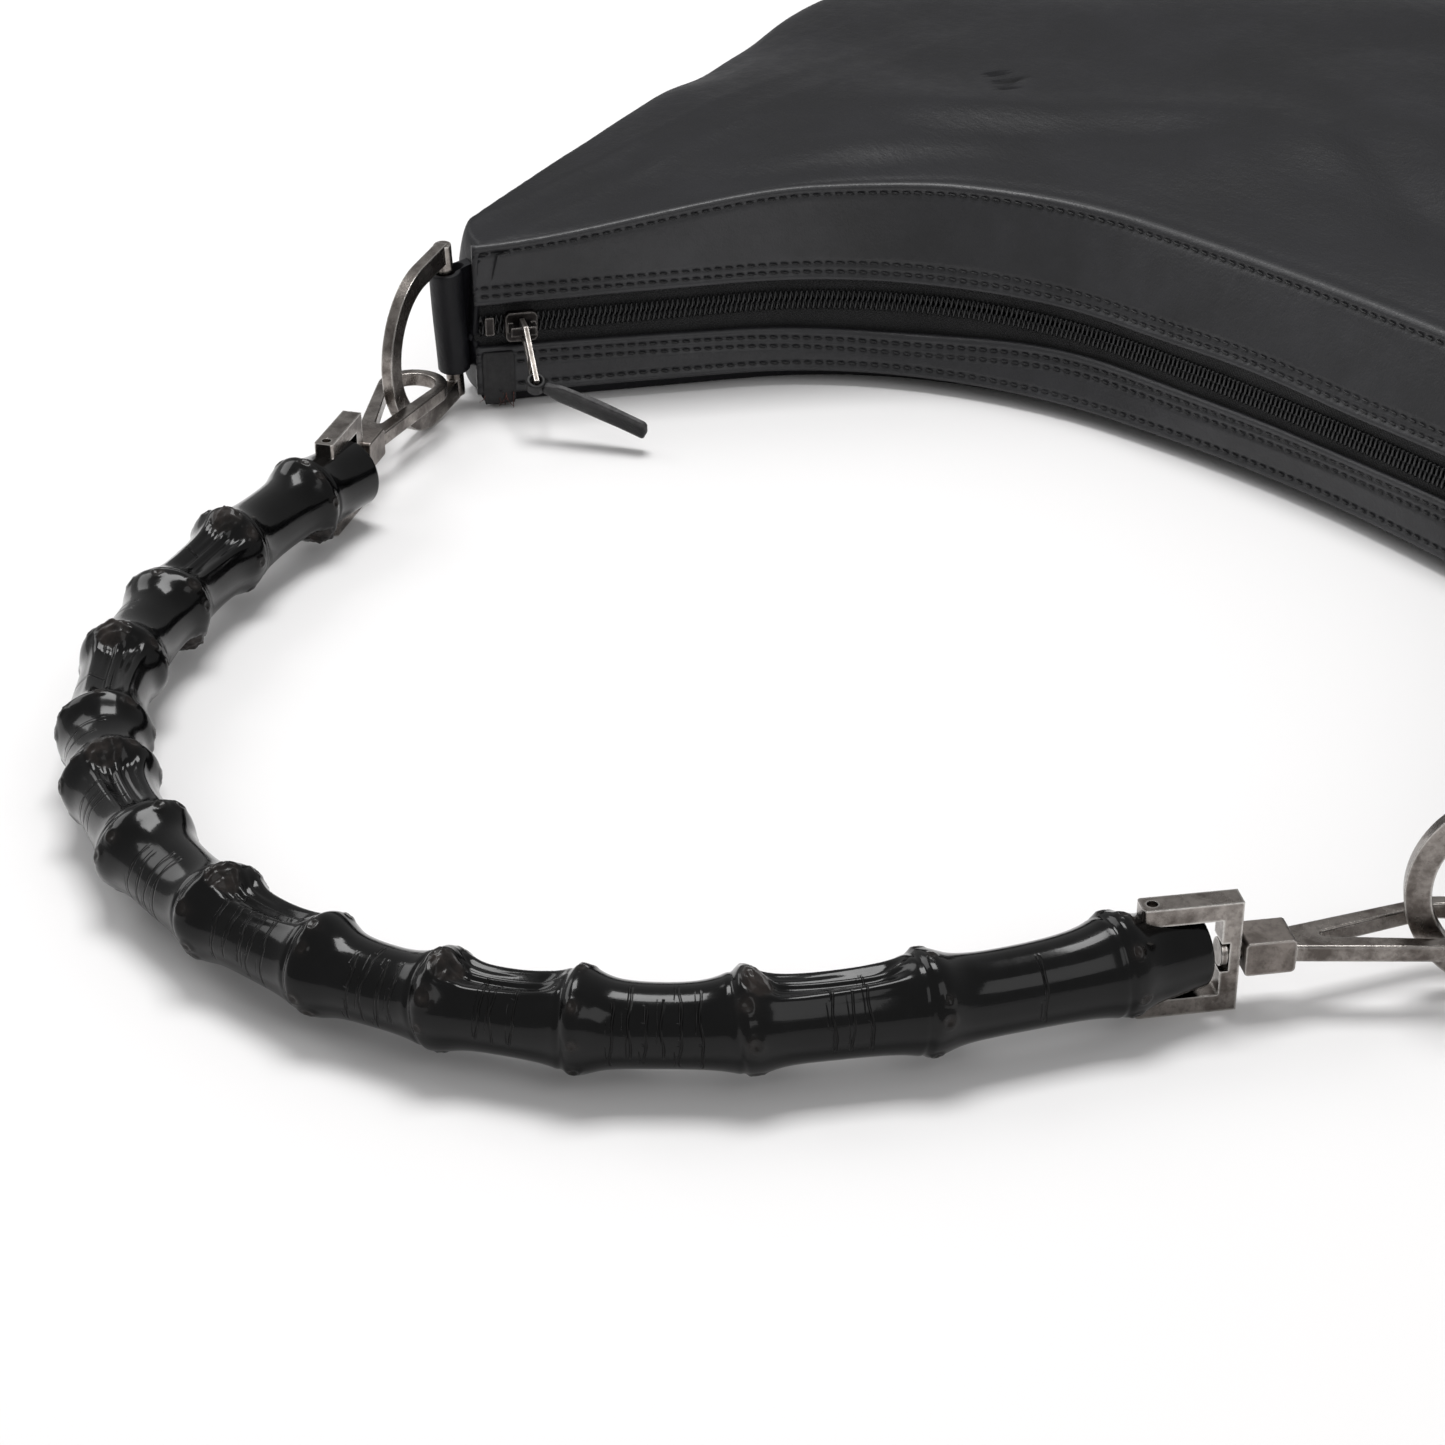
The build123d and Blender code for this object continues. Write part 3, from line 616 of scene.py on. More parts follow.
def nearEdge(x):
    # Y of the plan's near side: the mouth, the ear's end, then the flaring side
    x = np.abs(x)
    (ax, ay), (bx, by) = body["earInner"], body["earOuter"]
    end = ay + (by - ay) * (x - ax) / (bx - ax)
    side = by + body["sideSlope"] * (x - bx)
    return np.where(x <= ax, mouthDepth(x), np.where(x <= bx, end, side))


def farEdge(x):
    # Y of the plan's far side, a rounded bottom
    share = np.minimum(np.abs(x) / body["halfWidth"], 1)
    return body["waist"] + (body["bottom"] - body["waist"]) * np.sqrt(1 - share ** 2.2)


def panelPlan(columns, rows):
    # columns crowd towards the sides and rows towards both edges
    q = np.linspace(-1, 1, columns)
    x = (body["halfWidth"] - body["inset"]) * (0.35 * q + 0.65 * np.sin(q * pi / 2))
    t = 0.5 - 0.5 * np.cos(np.linspace(0, pi, rows))
    near, far = nearEdge(x), farEdge(x)
    y = near[None] + (far - near)[None] * t[:, None]
    return np.broadcast_to(x, y.shape).copy(), y, np.broadcast_to(t[:, None], y.shape), (far - near)[None]


def endCurve(wide, reach, power):
    # 0 inside, rising to 1 at the two widest points, over the last stretch of that length
    return 1 - roundRise((body["halfWidth"] - body["inset"] - wide) / reach, power)


def frontGrid(columns, rows):
    # height = seam + (dome - seam) * far fall * side fall; the dome climbs from the band to the crest
    x, y, t, span = panelPlan(columns, rows)
    wide = np.abs(x)
    crest = body["crest"] - 0.5 - 8 * ease(wide, 70, 215) - 6 * ease(wide, 236, 266)
    edge = np.minimum(bandTop(x) - 0.6 + 6 * ease(wide, 186, 215), crest - 1)
    behind, ahead = t * span, (1 - t) * span
    band = 1 - ease(wide, 180, 184)  # 1 along the mouth, 0 at the ears
    dome = crest - (crest - edge) * np.clip(1 - behind / (0.8 * span), 0, 1) ** 1.7
    farFall = roundRise(ahead / 36, 2.6)
    sideFall = 1 - ease(wide, 182, 185) * (1 - roundRise(behind / (4 + 42 * ease(wide, 190, 232)), 2.4))
    z = body["seam"] + (dome - body["seam"]) * farFall * sideFall * (1 - endCurve(wide, 26, 2.4))
    loose = ease(behind, 3, 30) * ease(ahead, 5, 40) * ease(z - body["seam"], 3, 20)
    z += loose * (1.1 * swell(x, y, 105, 41) + 0.3 * swell(x, y * 1.3, 42, 42))
    for x0, y0, x1, y1, wideness, depth in creases:
        length = sqrt((x1 - x0) ** 2 + (y1 - y0) ** 2)
        ux, uy = (x1 - x0) / length, (y1 - y0) / length
        along, across = (x - x0) * ux + (y - y0) * uy, (y - y0) * ux - (x - x0) * uy
        across = across + 0.10 * wideness * np.sin(along / 14)
        fade = ease(along, -length * 0.2, length * 0.25) * (1 - ease(along, length * 0.7, length * 1.2))
        z -= loose * depth * fade * hill(across, wideness) * 0.8
        z += loose * depth * fade * 0.45 * hill(across - 1.9 * wideness, wideness)
    # the first rows tuck down behind the band
    z -= 1.2 * hill(behind, 1.1) * band
    y = y + bandLean(x, bandTop(x)) * (1 - ease(t, 0, 0.5)) * band
    inset = (1.3 - 0.9 * hill(behind - 1.6, 1.4)) * (1 - ease(behind, 2, 9)) * band
    return np.stack([x, y + inset, z], -1)


def backGrid(columns, rows):
    # lies flat on the table and curls up to the band, the ears and the seam
    x, y, t, span = panelPlan(columns, rows)
    wide, behind, ahead = np.abs(x), t * span, (1 - t) * span
    band = 1 - ease(wide, 180, 184)
    sideReach = 6 + 24 * ease(wide, 196, 236)
    side = ease(wide, 182, 185) * (1 - roundRise(behind / sideReach, 2))
    far = 1 - roundRise(ahead / 34, 2)
    lip = band * 4.4 * (1 - ease(behind, 0, 9))
    z = body["seam"] * np.maximum(np.maximum(side, far), endCurve(wide, 24, 2)) + lip
    middle = ease(behind, 8, 40) * ease(ahead, 8, 50) * (1 - ease(wide, 230, 262))
    z += 0.25 * middle * (1 + swell(x, y, 60, 51))
    inset = 1.4 * (1 - ease(behind, 1, 8)) * band
    y = y - sag(x, z) * (1 - ease(behind, 0, 30))
    return np.stack([x, y + inset, np.maximum(z, 0.15)], -1)


def normalsOf(grid):
    # unit normals of a grid, from the cross product of its two directions
    return unit(np.cross(np.gradient(grid, axis=1), np.gradient(grid, axis=0)))


def scuffMark(grid):
    # two short nicks that meet in a V: bell curve of the distance from each stroke
    mark = np.zeros(grid.shape[:2])
    for x0, y0, x1, y1 in scuffStrokes:
        length = sqrt((x1 - x0) ** 2 + (y1 - y0) ** 2)
        ux, uy = (x1 - x0) / length, (y1 - y0) / length
        along = np.clip((grid[..., 0] - x0) * ux + (grid[..., 1] - y0) * uy, 0, length)
        gap = np.hypot(grid[..., 0] - x0 - along * ux, grid[..., 1] - y0 - along * uy)
        mark = np.maximum(mark, hill(gap, 0.9))
    return mark


scuffStrokes = [  # start X, Y, end X, Y
    (-145.5, 104.8, -154.0, 108.5), (-145.5, 104.8, -147.0, 112.0), (-145.5, 104.8, -141.0, 100.5)]
frontSurface = frontGrid(body["columns"], body["rows"])
backSurface = backGrid(body["columns"], body["rows"])
frontSurface[..., 2] -= 0.9 * scuffMark(frontSurface)
frontMesh = surfaceMesh("frontPanelLeather", frontSurface, around=False, values={"scuff": scuffMark(frontSurface)})
frontPanel = addPiece("frontPanelLeather", frontMesh, finishes["calf_leather"], "bag", ["front_panel"])
thicken(frontPanel, body["wall"])
backPanel = addPiece("backPanelLeather", surfaceMesh("backPanelLeather", backSurface[:, ::-1], around=False),
                     finishes["calf_leather"], "bag", ["back_panel"])
thicken(backPanel, body["wall"])
for name, grid, flip in (("front", frontGrid(120, 60), 1), ("back", backGrid(120, 60), -1)):
    inner = grid - flip * normalsOf(grid) * 2.6
    inner[..., 2] = np.where(grid[..., 2] > 21, np.maximum(inner[..., 2], 20.6), inner[..., 2]) if flip > 0 \
        else np.minimum(inner[..., 2], 19.4)
    lining = addPiece(name + "LiningCloth", surfaceMesh(name + "LiningCloth", inner[:, ::flip], around=False),
                      finishes["lining_cloth"], "bag", [name + "_lining"])
    thicken(lining, 0.5)


def pocketGrid():
    # flat patch with a turned hem along its open edge and a slack belly
    u, v = np.meshgrid(np.linspace(-1, 1, 61), np.linspace(-1, 1, 41))
    x = 74.5 * u
    y = 150 + 47 * v
    z = 4.2 + 0.8 * hill(v + 1, 0.12) + 0.5 * (1 - u ** 2) * (1 - ((v - 0.2) / 1.2) ** 2)
    return np.stack([x, y, z], -1)


pocket = addPiece("innerPocketCloth", surfaceMesh("innerPocketCloth", pocketGrid(), around=False),
                  finishes["lining_cloth"], "bag", ["inner_pocket"])
thicken(pocket, 0.7)
print("bag body done")


# seam welt round the sides and bottom, and the ear's closing seam

def weltPath():
    # the plan outline at the seam's height, from ear to ear by the bottom
    xRight = np.concatenate([np.linspace(186, 196.5, 8)[:-1], np.linspace(196.5, 265.2, 60)])
    right = np.stack([xRight, nearEdge(xRight)], -1)
    xFar = 265.4 * np.sin(np.linspace(pi / 2, -pi / 2, 240))
    far = np.stack([xFar, farEdge(xFar)], -1)
    left = np.stack([-xRight, nearEdge(xRight)], -1)[::-1]
    return evenly(np.concatenate([right, far, left]), step=1.6)


line = weltPath()
for _ in range(12):
    line[1:-1] = 0.5 * line[1:-1] + 0.25 * (line[2:] + line[:-2])
weltLine = np.column_stack([line, np.full(len(line), body["seam"])])
weltHeading = unit(np.gradient(weltLine, axis=0))
weltOut = np.column_stack([weltHeading[:, 1], -weltHeading[:, 0], np.zeros(len(line))])
outline = roundedOutline(3.0, 2.0, 0.9, 3, 4)
welt = carried(weltLine - weltOut * 0.7, weltOut, np.tile([0, 0, 1.0], (len(line), 1)), outline)
addPiece("seamWeltLeather", outwards(surfaceMesh("seamWeltLeather", welt, caps=True)),
         finishes["calf_leather"], "bag")
print("welt done")


# chapes: leather loops that hold the rings to the ears

ringLook = dict(x=189.5, y=-63.5, z=25.5, tilt=6.0, left=27.0, right=48.0)
chapeLook = dict(bar=2.75, wall=1.7, long=30.0, tail=16.0)


def barDirection(side):
    s = -1 if side == "left" else 1
    h, tilt = radians(ringLook[side]), radians(ringLook["tilt"])
    level = np.array([-s * sin(h), -cos(h), 0])
    return level * sin(tilt) + np.array([0, 0, cos(tilt)])


def chapeMesh(side):
    # the outer outline runs round the bar and along the tail; the wall turns over each end to the bar's hole
    s = -1 if side == "left" else 1
    b = barDirection(side)
    tailward = unit(np.array([0, 1.0, 0]) - b * b[1])
    across = np.cross(b, tailward)
    a = np.linspace(-pi, pi, 72, endpoint=False)
    outer = chapeLook["bar"] + chapeLook["wall"]
    cosine, sine = np.cos(a), np.sin(a)
    xr = np.where(cosine > 0, chapeLook["tail"] * np.abs(cosine) ** 1.25, outer * cosine)
    circle = np.sqrt(np.maximum(outer ** 2 - np.clip(xr, 0, outer) ** 2, 0))
    half = (circle ** 4 + 1.75 ** 4) ** 0.25
    yr = np.where(cosine > 0, half * np.sign(sine) * np.minimum(np.abs(sine) * 6, 1), outer * sine)
    outerLine = np.stack([xr, yr], -1)
    innerLine = chapeLook["bar"] * np.stack([cosine, sine], -1)
    long = chapeLook["long"] / 2
    rows, lip, rim = 26, 0.5, 0.15  # rows along the wall, and how far its end rounds over
    run = np.concatenate([np.linspace(-long + lip, long - lip, rows), [long - rim, long],
                          np.linspace(long, -long, 5), [-long + rim]])
    share = np.concatenate([np.ones(rows), [0.93, 0.8, 0.25, 0, 0, 0, 0.25, 0.9]])
    flat = innerLine[None] + (outerLine - innerLine)[None] * share[:, None, None]
    flat[..., 1] += 0.12 * np.sin(run / 5 + 1)[:, None] * (share > 0.5)[:, None]
    origin = np.array([s * ringLook["x"], ringLook["y"], ringLook["z"]])
    grid = (origin + b * run[:, None, None] + tailward * flat[..., :1] + across * flat[..., 1:])
    return outwards(surfaceMesh("chape", grid, along=True))


for side in ("left", "right"):
    addPiece("chape" + side.capitalize() + "Leather", chapeMesh(side), finishes["calf_leather"], "bag",
             ["chape_" + side], sharpAngle=50)
print("chapes done")


# zip end tabs and the leather pull tab

legHeading = np.array([30.0, 57.0, 0]) / sqrt(30.0 ** 2 + 57.0 ** 2)
tabs = dict(along=6.0, low=-22.5, wide=9.0, tall=15.0, wall=1.0)


def legPoint(side, along, out, up):
    # a point by its length from the ear along the mouth's straight leg, its distance out and its height
    s = -1 if side == "left" else 1
    t = np.array([-s * legHeading[0], legHeading[1], 0])
    n = np.array([-s * legHeading[1], -legHeading[0], 0])
    base = np.array([s * mouth["ear"][0], mouth["ear"][1], levels["zip"]])
    along, out, up = np.broadcast_arrays(along, out, up)
    return base + along[..., None] * t + out[..., None] * n + up[..., None] * np.array([0, 0, 1.0])


def endTabMesh(side):
    # rounded patch with a turned edge, lifted a little at its free end
    u, v = np.meshgrid(np.linspace(-1, 1, 25), np.linspace(-1, 1, 33))
    corner = np.minimum(1, 1.02 - 0.14 * np.clip(np.abs(v) - 0.75, 0, 1) * 4 * np.abs(u) ** 3)
    along = tabs["along"] + u * tabs["wide"] / 2 * corner
    up = tabs["low"] + tabs["tall"] / 2 * (1 + v)
    rise = 0.9 + 0.35 * (1 - u ** 6) * (1 - v ** 6) + 0.5 * hill(v + 1, 0.5)
    rise = rise - 0.3 * hill(np.abs(u) - 0.78, 0.08)
    return legPoint(side, along, rise, up)


def frayMesh(side, seed):
    # loose thread ends: thin tapered tubes that curl away from the tab's lower edge
    rng = np.random.default_rng(seed)
    meshes = []
    for k in range(7):
        share = np.linspace(0, 1, 9)
        bend, lean, long = rng.uniform(-2.2, 2.2), rng.uniform(-0.6, 1.2), rng.uniform(2.0, 4.5)
        along = tabs["along"] + rng.uniform(-4.2, 4.2) + bend * share ** 2
        out = 1.2 + lean * share + 0.4 * np.sin(share * 6 + k)
        up = tabs["low"] + 3.2 - long * share
        line = legPoint(side, along, out, np.maximum(up, -23.6))
        heading = unit(np.gradient(line, axis=0))
        across = unit(np.cross(heading, [0.3, 0.1, 1.0]))
        a = np.linspace(0, 2 * pi, 5, endpoint=False)
        ring = np.stack([np.cos(a), np.sin(a)], -1)[None] * (0.16 - 0.09 * share)[:, None, None]
        grid = carried(line, across, np.cross(heading, across), ring)
        meshes.append(outwards(surfaceMesh("fray", grid, caps=True)))
    return joined("fray" + side, meshes)


for side in ("left", "right"):
    grid = endTabMesh(side)
    if side == "left":
        grid = grid[:, ::-1]
    mesh = surfaceMesh("zipEndTab", grid, around=False, values={"wear": 0.25 * np.ones(grid.shape[:2])})
    tab = addPiece("zipEndTab" + side.capitalize(), mesh, finishes["tab_leather"], "bag",
                   ["zip_end_tab_" + side])
    thicken(tab, -tabs["wall"])
    addPiece("frayedThreads" + side.capitalize(), frayMesh(side, 61), finishes["fray"], "bag")

pull = dict(slider=12.5, knee=8.8, arm=16.85, drop=31.0, turn=55.0, long=33.0, wide=6.6, thick=2.0, eye=1.5)


def pullFrame():
    # where the leather tab hangs on the puller's end, and its three directions
    drop, turn = radians(pull["drop"]), radians(pull["turn"])
    out = np.array([legHeading[1], -legHeading[0], 0])
    up = np.array([0, 0, 1.0])
    droop, bar = out * cos(drop) - up * sin(drop), out * sin(drop) + up * cos(drop)
    knee = legPoint("left", np.array(pull["slider"]), np.array(pull["knee"]), np.array(0.0))
    origin = knee + droop * (pull["arm"] - 0.95)
    along = droop * cos(turn) + legHeading * sin(turn)
    return origin, along, bar, np.cross(bar, along)


origin, along, bar, across = pullFrame()


def pullTabMesh():
    # a strap with domed faces: rounded outline carried along, thin at the waist by the loop
    share = np.linspace(0, 1, 70)
    reach = 2.2 + (pull["long"] - 2.2) * share
    ends = (share - 0.5) * 2
    wide = pull["wide"] * (0.56 + 0.44 * ease(reach, 3.0, 8.0)) * np.sqrt(np.clip(1 - ends ** 30, 0.02, 1))
    thick = pull["thick"] * (0.9 + 0.1 * np.cos(reach / 3)) * np.sqrt(np.clip(1 - ends ** 40, 0.03, 1))
    outline = roundedOutline(1, 1, 0.22, 8, 4)
    profile = np.stack([outline[None, :, 0] * wide[:, None], outline[None, :, 1] * thick[:, None]], -1)
    profile[..., 1] += 0.18 * np.sign(outline[:, 1]) * (1 - (2 * outline[:, 0]) ** 2)
    path = origin + along * reach[:, None] + across * (0.5 * np.sin(share * 3.0))[:, None]
    grid = carried(path, np.tile(bar, (70, 1)), np.tile(across, (70, 1)), profile)
    rim = hill(np.abs(outline[:, 0]) - 0.47, 0.12)[None] * np.ones((70, 1))
    worn = np.clip(0.75 * rim + 0.1 * hill(share - 0.35, 0.3)[:, None], 0, 1)
    strap = outwards(surfaceMesh("strap", grid, caps=True, values={"wear": worn}))
    a = np.linspace(0, 2 * pi, 48, endpoint=False)
    away = along * np.cos(a)[:, None] + across * np.sin(a)[:, None]
    ring = origin + away * (pull["eye"] + 0.55)
    loop = carried(ring, away, np.tile(bar, (48, 1)), roundedOutline(1.1, 3.6, 0.4, 3, 3))
    worn = np.full(loop.shape[:2], 0.1)
    eyelet = outwards(surfaceMesh("loop", loop, along=True, values={"wear": worn}))
    return joined("pullTabLeather", [strap, eyelet])


addPiece("pullTabLeather", pullTabMesh(), finishes["tab_leather"], "pull_tab", ["pull_tab"])
print("tabs done")


# bamboo handle

cane = dict(
    x=-6.0, front=-264.4, z=12.8, middleRadius=129.0, middleAngle=56.4, endRadius=265.0, end=218.4,
    radius=8.5, rows=900, around=108, troughAngle=82.0, hiddenTurn=222.0, troughDepth=1.5, checkSide=150.0,
    nodes=[-197.7, -165.8, -134.0, -105.5, -73.6, -52.1, -24.1, 7.2, 36.5, 63.8, 91.8, 123.7, 159.2, 199.9],
    checks=[0, 1, 2, 1, 2, 3, 4, 5, 4, 3, 6, 3, 1],
)


def caneLine(s):
    # centreline by length from the middle: a tight arc, then a slacker arc at each end
    turn = radians(cane["middleAngle"])
    size = np.abs(s)
    heading = np.where(size < cane["middleRadius"] * turn, size / cane["middleRadius"],
                       turn + (size - cane["middleRadius"] * turn) / cane["endRadius"])
    middleY = cane["front"] + cane["middleRadius"]
    slack = cane["endRadius"] - cane["middleRadius"]
    inner = size < cane["middleRadius"] * turn
    px = np.where(inner, cane["middleRadius"] * np.sin(heading),
                  -slack * sin(turn) + cane["endRadius"] * np.sin(heading))
    py = np.where(inner, middleY - cane["middleRadius"] * np.cos(heading),
                  middleY + slack * cos(turn) - cane["endRadius"] * np.cos(heading))
    heading = heading * np.sign(s)
    path = np.stack([cane["x"] + np.sign(s) * px, py, np.full(len(s), cane["z"])], -1)
    inward = np.stack([-np.sin(heading), np.cos(heading), 0 * s], -1)
    return path, inward


def nearestNode(s, nodes):
    # signed length to the closest node
    gap = s[:, None] - nodes[None]
    return gap[np.arange(len(s)), np.abs(gap).argmin(1)]


def caneMesh():
    # radius = waist + flare at each node + sunken troughs + bud scars, over length and angle
    nodes = np.array(cane["nodes"])
    rng = np.random.default_rng(7)
    dense = np.linspace(-cane["end"], cane["end"], 20001)
    nearest = np.abs(dense[:, None] - nodes[None]).min(1)
    weight = np.cumsum(1 + 2.4 * hill(nearest, 4.5) + 2 * hill(np.abs(dense) - cane["end"], 1.5))
    s = np.interp(np.linspace(weight[0], weight[-1], cane["rows"]), weight, dense)
    a = np.linspace(0, 2 * pi, cane["around"], endpoint=False)
    s2, a2 = s[:, None], a[None, :]
    path, inward = caneLine(s)
    r = cane["radius"] + 0.12 * swell(s2 + 0 * a2, 12 * np.cos(a2) + 0 * s2, 60, 71)
    r = r + 0.25 * np.cos(2 * a2 + s2 / 60)
    # between two nodes the cane is waisted: it flares towards both like a catenary
    left = np.searchsorted(nodes, s).clip(1, len(nodes) - 1) - 1
    share = (s - nodes[left]) / (nodes[left + 1] - nodes[left])
    flare = np.clip(np.abs(2 * share - 1), 0, 2) ** 2.6
    beyond = (s < nodes[0]) | (s > nodes[-1])
    flare = np.where(beyond, 0.9 * np.exp(-np.abs(nearestNode(s, nodes)) / 8), flare)
    flare = np.convolve(np.pad(flare, 4, mode="edge"), np.hanning(11)[1:-1] / np.hanning(11).sum(), "valid")
    r = r + 1.3 * flare[:, None] * (1 + 0.25 * np.sin(a2))
    scar = np.zeros(r.shape)
    check = np.full(r.shape, 1.0)
    checkDepth = np.zeros(r.shape)
    for k, mark in enumerate(nodes):
        lean = rng.uniform(0, 2 * pi)
        d = s2 - mark - 0.9 * np.cos(a2 - lean) - 0.45 * np.cos(2 * a2 + lean)
        # the knuckle stands out most on the upper side, and a crease marks where the sheath fell off
        lump = 1 + 0.35 * np.sin(a2) + 0.16 * np.cos(3 * a2 + 2 * lean) + 0.12 * np.cos(5 * a2 + lean)
        r = r + lump * (0.75 * hill(d - 1.6, 3.4) + 0.45 * hill(d - 0.6, 6.0))
        r = r - 0.38 * hill(d + 1.3, 0.7) * (0.7 + 0.3 * lump)
        # root buds stand round the ridge like small craters
        around = np.arange(8) * 2 * pi / 8 + rng.uniform(-0.3, 0.3, 8)
        for angle in around:
            size = rng.uniform(0.8, 1.5)
            arc = (np.angle(np.exp(1j * (a2 - angle)))) * 10.3
            rho = np.sqrt((d - 1.4 + rng.uniform(-0.7, 0.9)) ** 2 + arc ** 2) / size
            r = r + 0.30 * hill(rho - 0.95, 0.42) - 0.30 * hill(rho, 0.5)
            scar = np.maximum(scar, 0.8 * hill(rho, 1.1))
        # a bud scar heads a long trough; troughs lie on opposite sides of the cane in turn
        if k < len(nodes) - 1:
            span = nodes[k + 1] - mark
            side = radians(cane["troughAngle"] + (0 if k % 2 else cane["hiddenTurn"]))
            side = side + rng.uniform(-0.12, 0.12)
            arc = np.angle(np.exp(1j * (a2 - side))) * 9.0
            share = (s2 - mark) / span
            run = ease(share, 0.06, 0.2) * (1 - ease(share, 0.72, 0.98))
            width = 4.6 - 1.4 * np.clip(share, 0, 1)
            inside = 1 - ease(np.abs(arc), width * 0.75, width * 1.15)
            r = r - cane["troughDepth"] * run * inside
            r = r + 0.42 * run * inside * np.cos(arc * 2 * pi / 3.1)
            r = r + 0.35 * run * hill(np.abs(arc) - 1.35 * width, 0.9)
            knob = np.sqrt((s2 - mark - 2.6) ** 2 + (arc - 1.8) ** 2)
            crust = 0.22 * swell(s2 + 0 * a2, arc + 0 * s2, 1.8, 90 + k)
            crusted = 1 - ease(knob, 2.6, 3.8)
            r = r + 0.85 * (1 - ease(knob, 1.8, 5.2)) - 0.45 * hill(knob - 2.9, 0.4) + crust * crusted
            scar = np.maximum(scar, crusted)
            # hairline checks across the cane between its nodes, kept as a signed distance
            count = cane["checks"][k]
            places = mark + span * 0.5 + 3.3 * (np.arange(count) - (count - 1) / 2) + rng.uniform(-1, 3)
            for place in places:
                place = place + rng.uniform(-0.5, 0.5)
                wander = 0.26 * np.cos(a2 * 3 + place) + 0.16 * np.cos(7 * a2 + 2 * place)
                centre, reach = radians(cane["checkSide"]) + rng.uniform(-0.25, 0.25), rng.uniform(0.75, 1.25)
                off = s2 - place - wander
                fade = 1 - ease(np.abs(np.angle(np.exp(1j * (a2 - centre)))), reach * 0.75, reach)
                closer = np.abs(off) < np.abs(check)
                check = np.where(closer, off, check)
                checkDepth = np.where(closer, fade * (1 - ease(np.abs(off), 0.7, 0.95)), checkDepth)
    # both ends are sawn square, with a small rounding
    rounding = np.clip((cane["end"] - np.abs(s)) / 0.9, 0, 1)
    r = r - 0.9 * (1 - np.sqrt(1 - (1 - rounding[:, None]) ** 2))
    away = inward[:, None] * np.cos(a2)[..., None] + np.array([0, 0, 1.0]) * np.sin(a2)[..., None]
    grid = path[:, None] + away * r[..., None]
    grid[..., 2] = np.maximum(grid[..., 2], 0.25)
    values = {"check": check, "checkDepth": checkDepth, "scar": scar}
    return outwards(surfaceMesh("caneHandle", grid, caps=True, values=values))


addPiece("caneHandle", caneMesh(), finishes["lacquered_cane"], "handle", ["bamboo_handle"])
print("cane handle done")


# metal fittings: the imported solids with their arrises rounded

fittings = {  # node: bevel in mm
    "d_ring_left": 0.75, "d_ring_right": 0.75, "clevis_left": 0.35, "clevis_right": 0.35,
    "eye_left": 0.3, "eye_right": 0.3, "swivel_block_left": 0.4, "swivel_block_right": 0.4,
    "swivel_post_left": 0.2, "swivel_post_right": 0.2, "handle_pin_left": 0.3, "handle_pin_right": 0.3,
    "zip_slider": 0.45, "zip_puller": 0.3, "zip_stop_left": 0.2, "zip_stop_right": 0.2,
}


def softened(node, edge):
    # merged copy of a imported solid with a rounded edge
    mesh = frame["nodes"][node].data.copy()
    bm = bmesh.new()
    bm.from_mesh(mesh)
    bmesh.ops.remove_doubles(bm, verts=bm.verts, dist=2e-6)
    bmesh.ops.dissolve_limit(bm, angle_limit=radians(0.6), verts=bm.verts, edges=bm.edges)
    bm.to_mesh(mesh)
    bm.free()
    if "custom_normal" in mesh.attributes:
        mesh.attributes.remove(mesh.attributes["custom_normal"])
    words = node.split("_")
    name = words[0] + "".join(w.capitalize() for w in words[1:]) + "Metal"
    mesh.name = name
    home = frame["nodes"][node]["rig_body"]
    slotName = "dark_gunmetal" if "block" in node else "gunmetal"
    look = "zip_puller" if "puller" in node else "zip_slider" if "zip" in node else slotName
    piece = addPiece(name, mesh, finishes[look], home, [node], sharpAngle=30)
    bevel = piece.modifiers.new("arris", "BEVEL")
    bevel.width, bevel.segments, bevel.limit_method = edge * mm, 3, "ANGLE"
    bevel.angle_limit, bevel.harden_normals = radians(32), True
    return piece


for node, edge in fittings.items():
    softened(node, edge)
print("metal fittings done")


# floor, light, camera

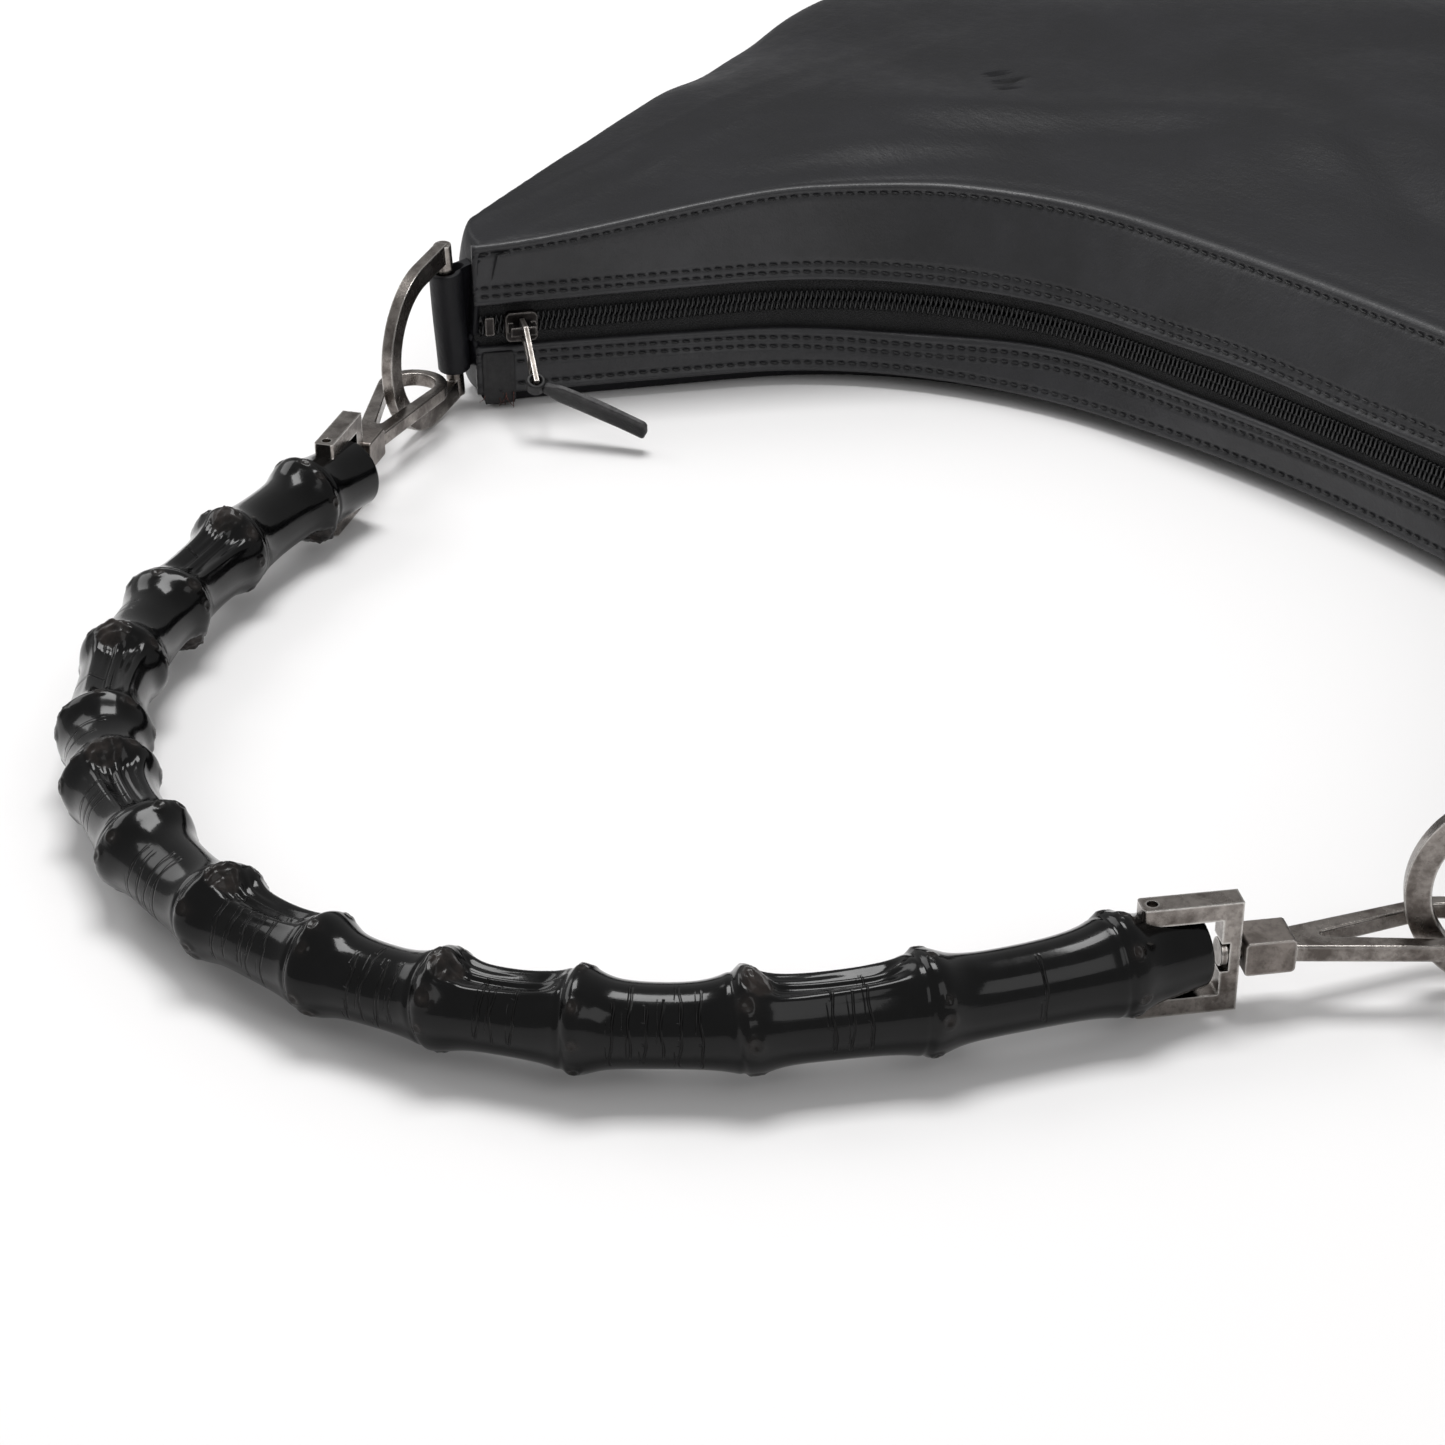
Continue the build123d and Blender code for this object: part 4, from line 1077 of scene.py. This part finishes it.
def stageFloor():
    # white laminate table top: faint speckle, no pattern to read
    finish, tree, shader, where = newFinish("whiteTableTop", {"Roughness": 0.6})
    cloud = noise(tree, where, 400, 2)
    coloured(tree, shader, cloud, "edecec", "f1f0f0")
    mesh = bpy.data.meshes.new("tableTop")
    w = 4.0  # half the side of the top, in metres
    mesh.from_pydata([(-w, -w, 0), (w, -w, 0), (w, w, 0), (-w, w, 0)], [], [(0, 1, 2, 3)])
    mesh.materials.append(finish)
    floor = bpy.data.objects.new("tableTop", mesh)
    scene.collection.objects.link(floor)


lamps = {  # name: place, point it faces, width and length in metres, watts
    "overheadSoftbox": ((-0.35, 0.15, 1.5), (0, -0.05, 0), (0.8, 0.6), 17),
    "leftSoftbox": ((-1.3, -0.5, 0.9), (0, 0, 0), (0.9, 0.7), 6),
    "rightFill": ((1.2, -0.2, 1.0), (0, 0, 0), (0.8, 0.8), 3),
}
stage = dict(place=(0.492, -0.5532, 0.381), tilt=60, heading=49.2, lens=82.2, sensor=36, surround=0.42)


def areaLight(name, place, aim, size, power):
    data = bpy.data.lights.new(name, "AREA")
    data.shape, data.size, data.size_y, data.energy = "RECTANGLE", size[0], size[1], power
    lamp = bpy.data.objects.new(name, data)
    lamp.location = place
    direction = np.array(aim) - np.array(place)
    lamp.rotation_euler = (atan2(sqrt(direction[0] ** 2 + direction[1] ** 2), -direction[2]), 0,
                           atan2(direction[1], direction[0]) - pi / 2)
    scene.collection.objects.link(lamp)


stageFloor()
for name, lamp in lamps.items():
    areaLight(name, *lamp)
world = bpy.data.worlds.new("studio")
world.use_nodes = True
surround = world.node_tree.nodes["Background"].inputs
surround["Color"].default_value = (1.0, 1.0, 1.0, 1)
surround["Strength"].default_value = stage["surround"]
scene.world = world
scene.view_settings.view_transform = "Standard"

camera = bpy.data.objects.new("camera", bpy.data.cameras.new("camera"))
camera.location = stage["place"]
camera.rotation_euler = (radians(stage["tilt"]), 0, radians(stage["heading"]))
camera.data.lens, camera.data.sensor_width = stage["lens"], stage["sensor"]
scene.collection.objects.link(camera)
scene.camera = camera
print("stage done")
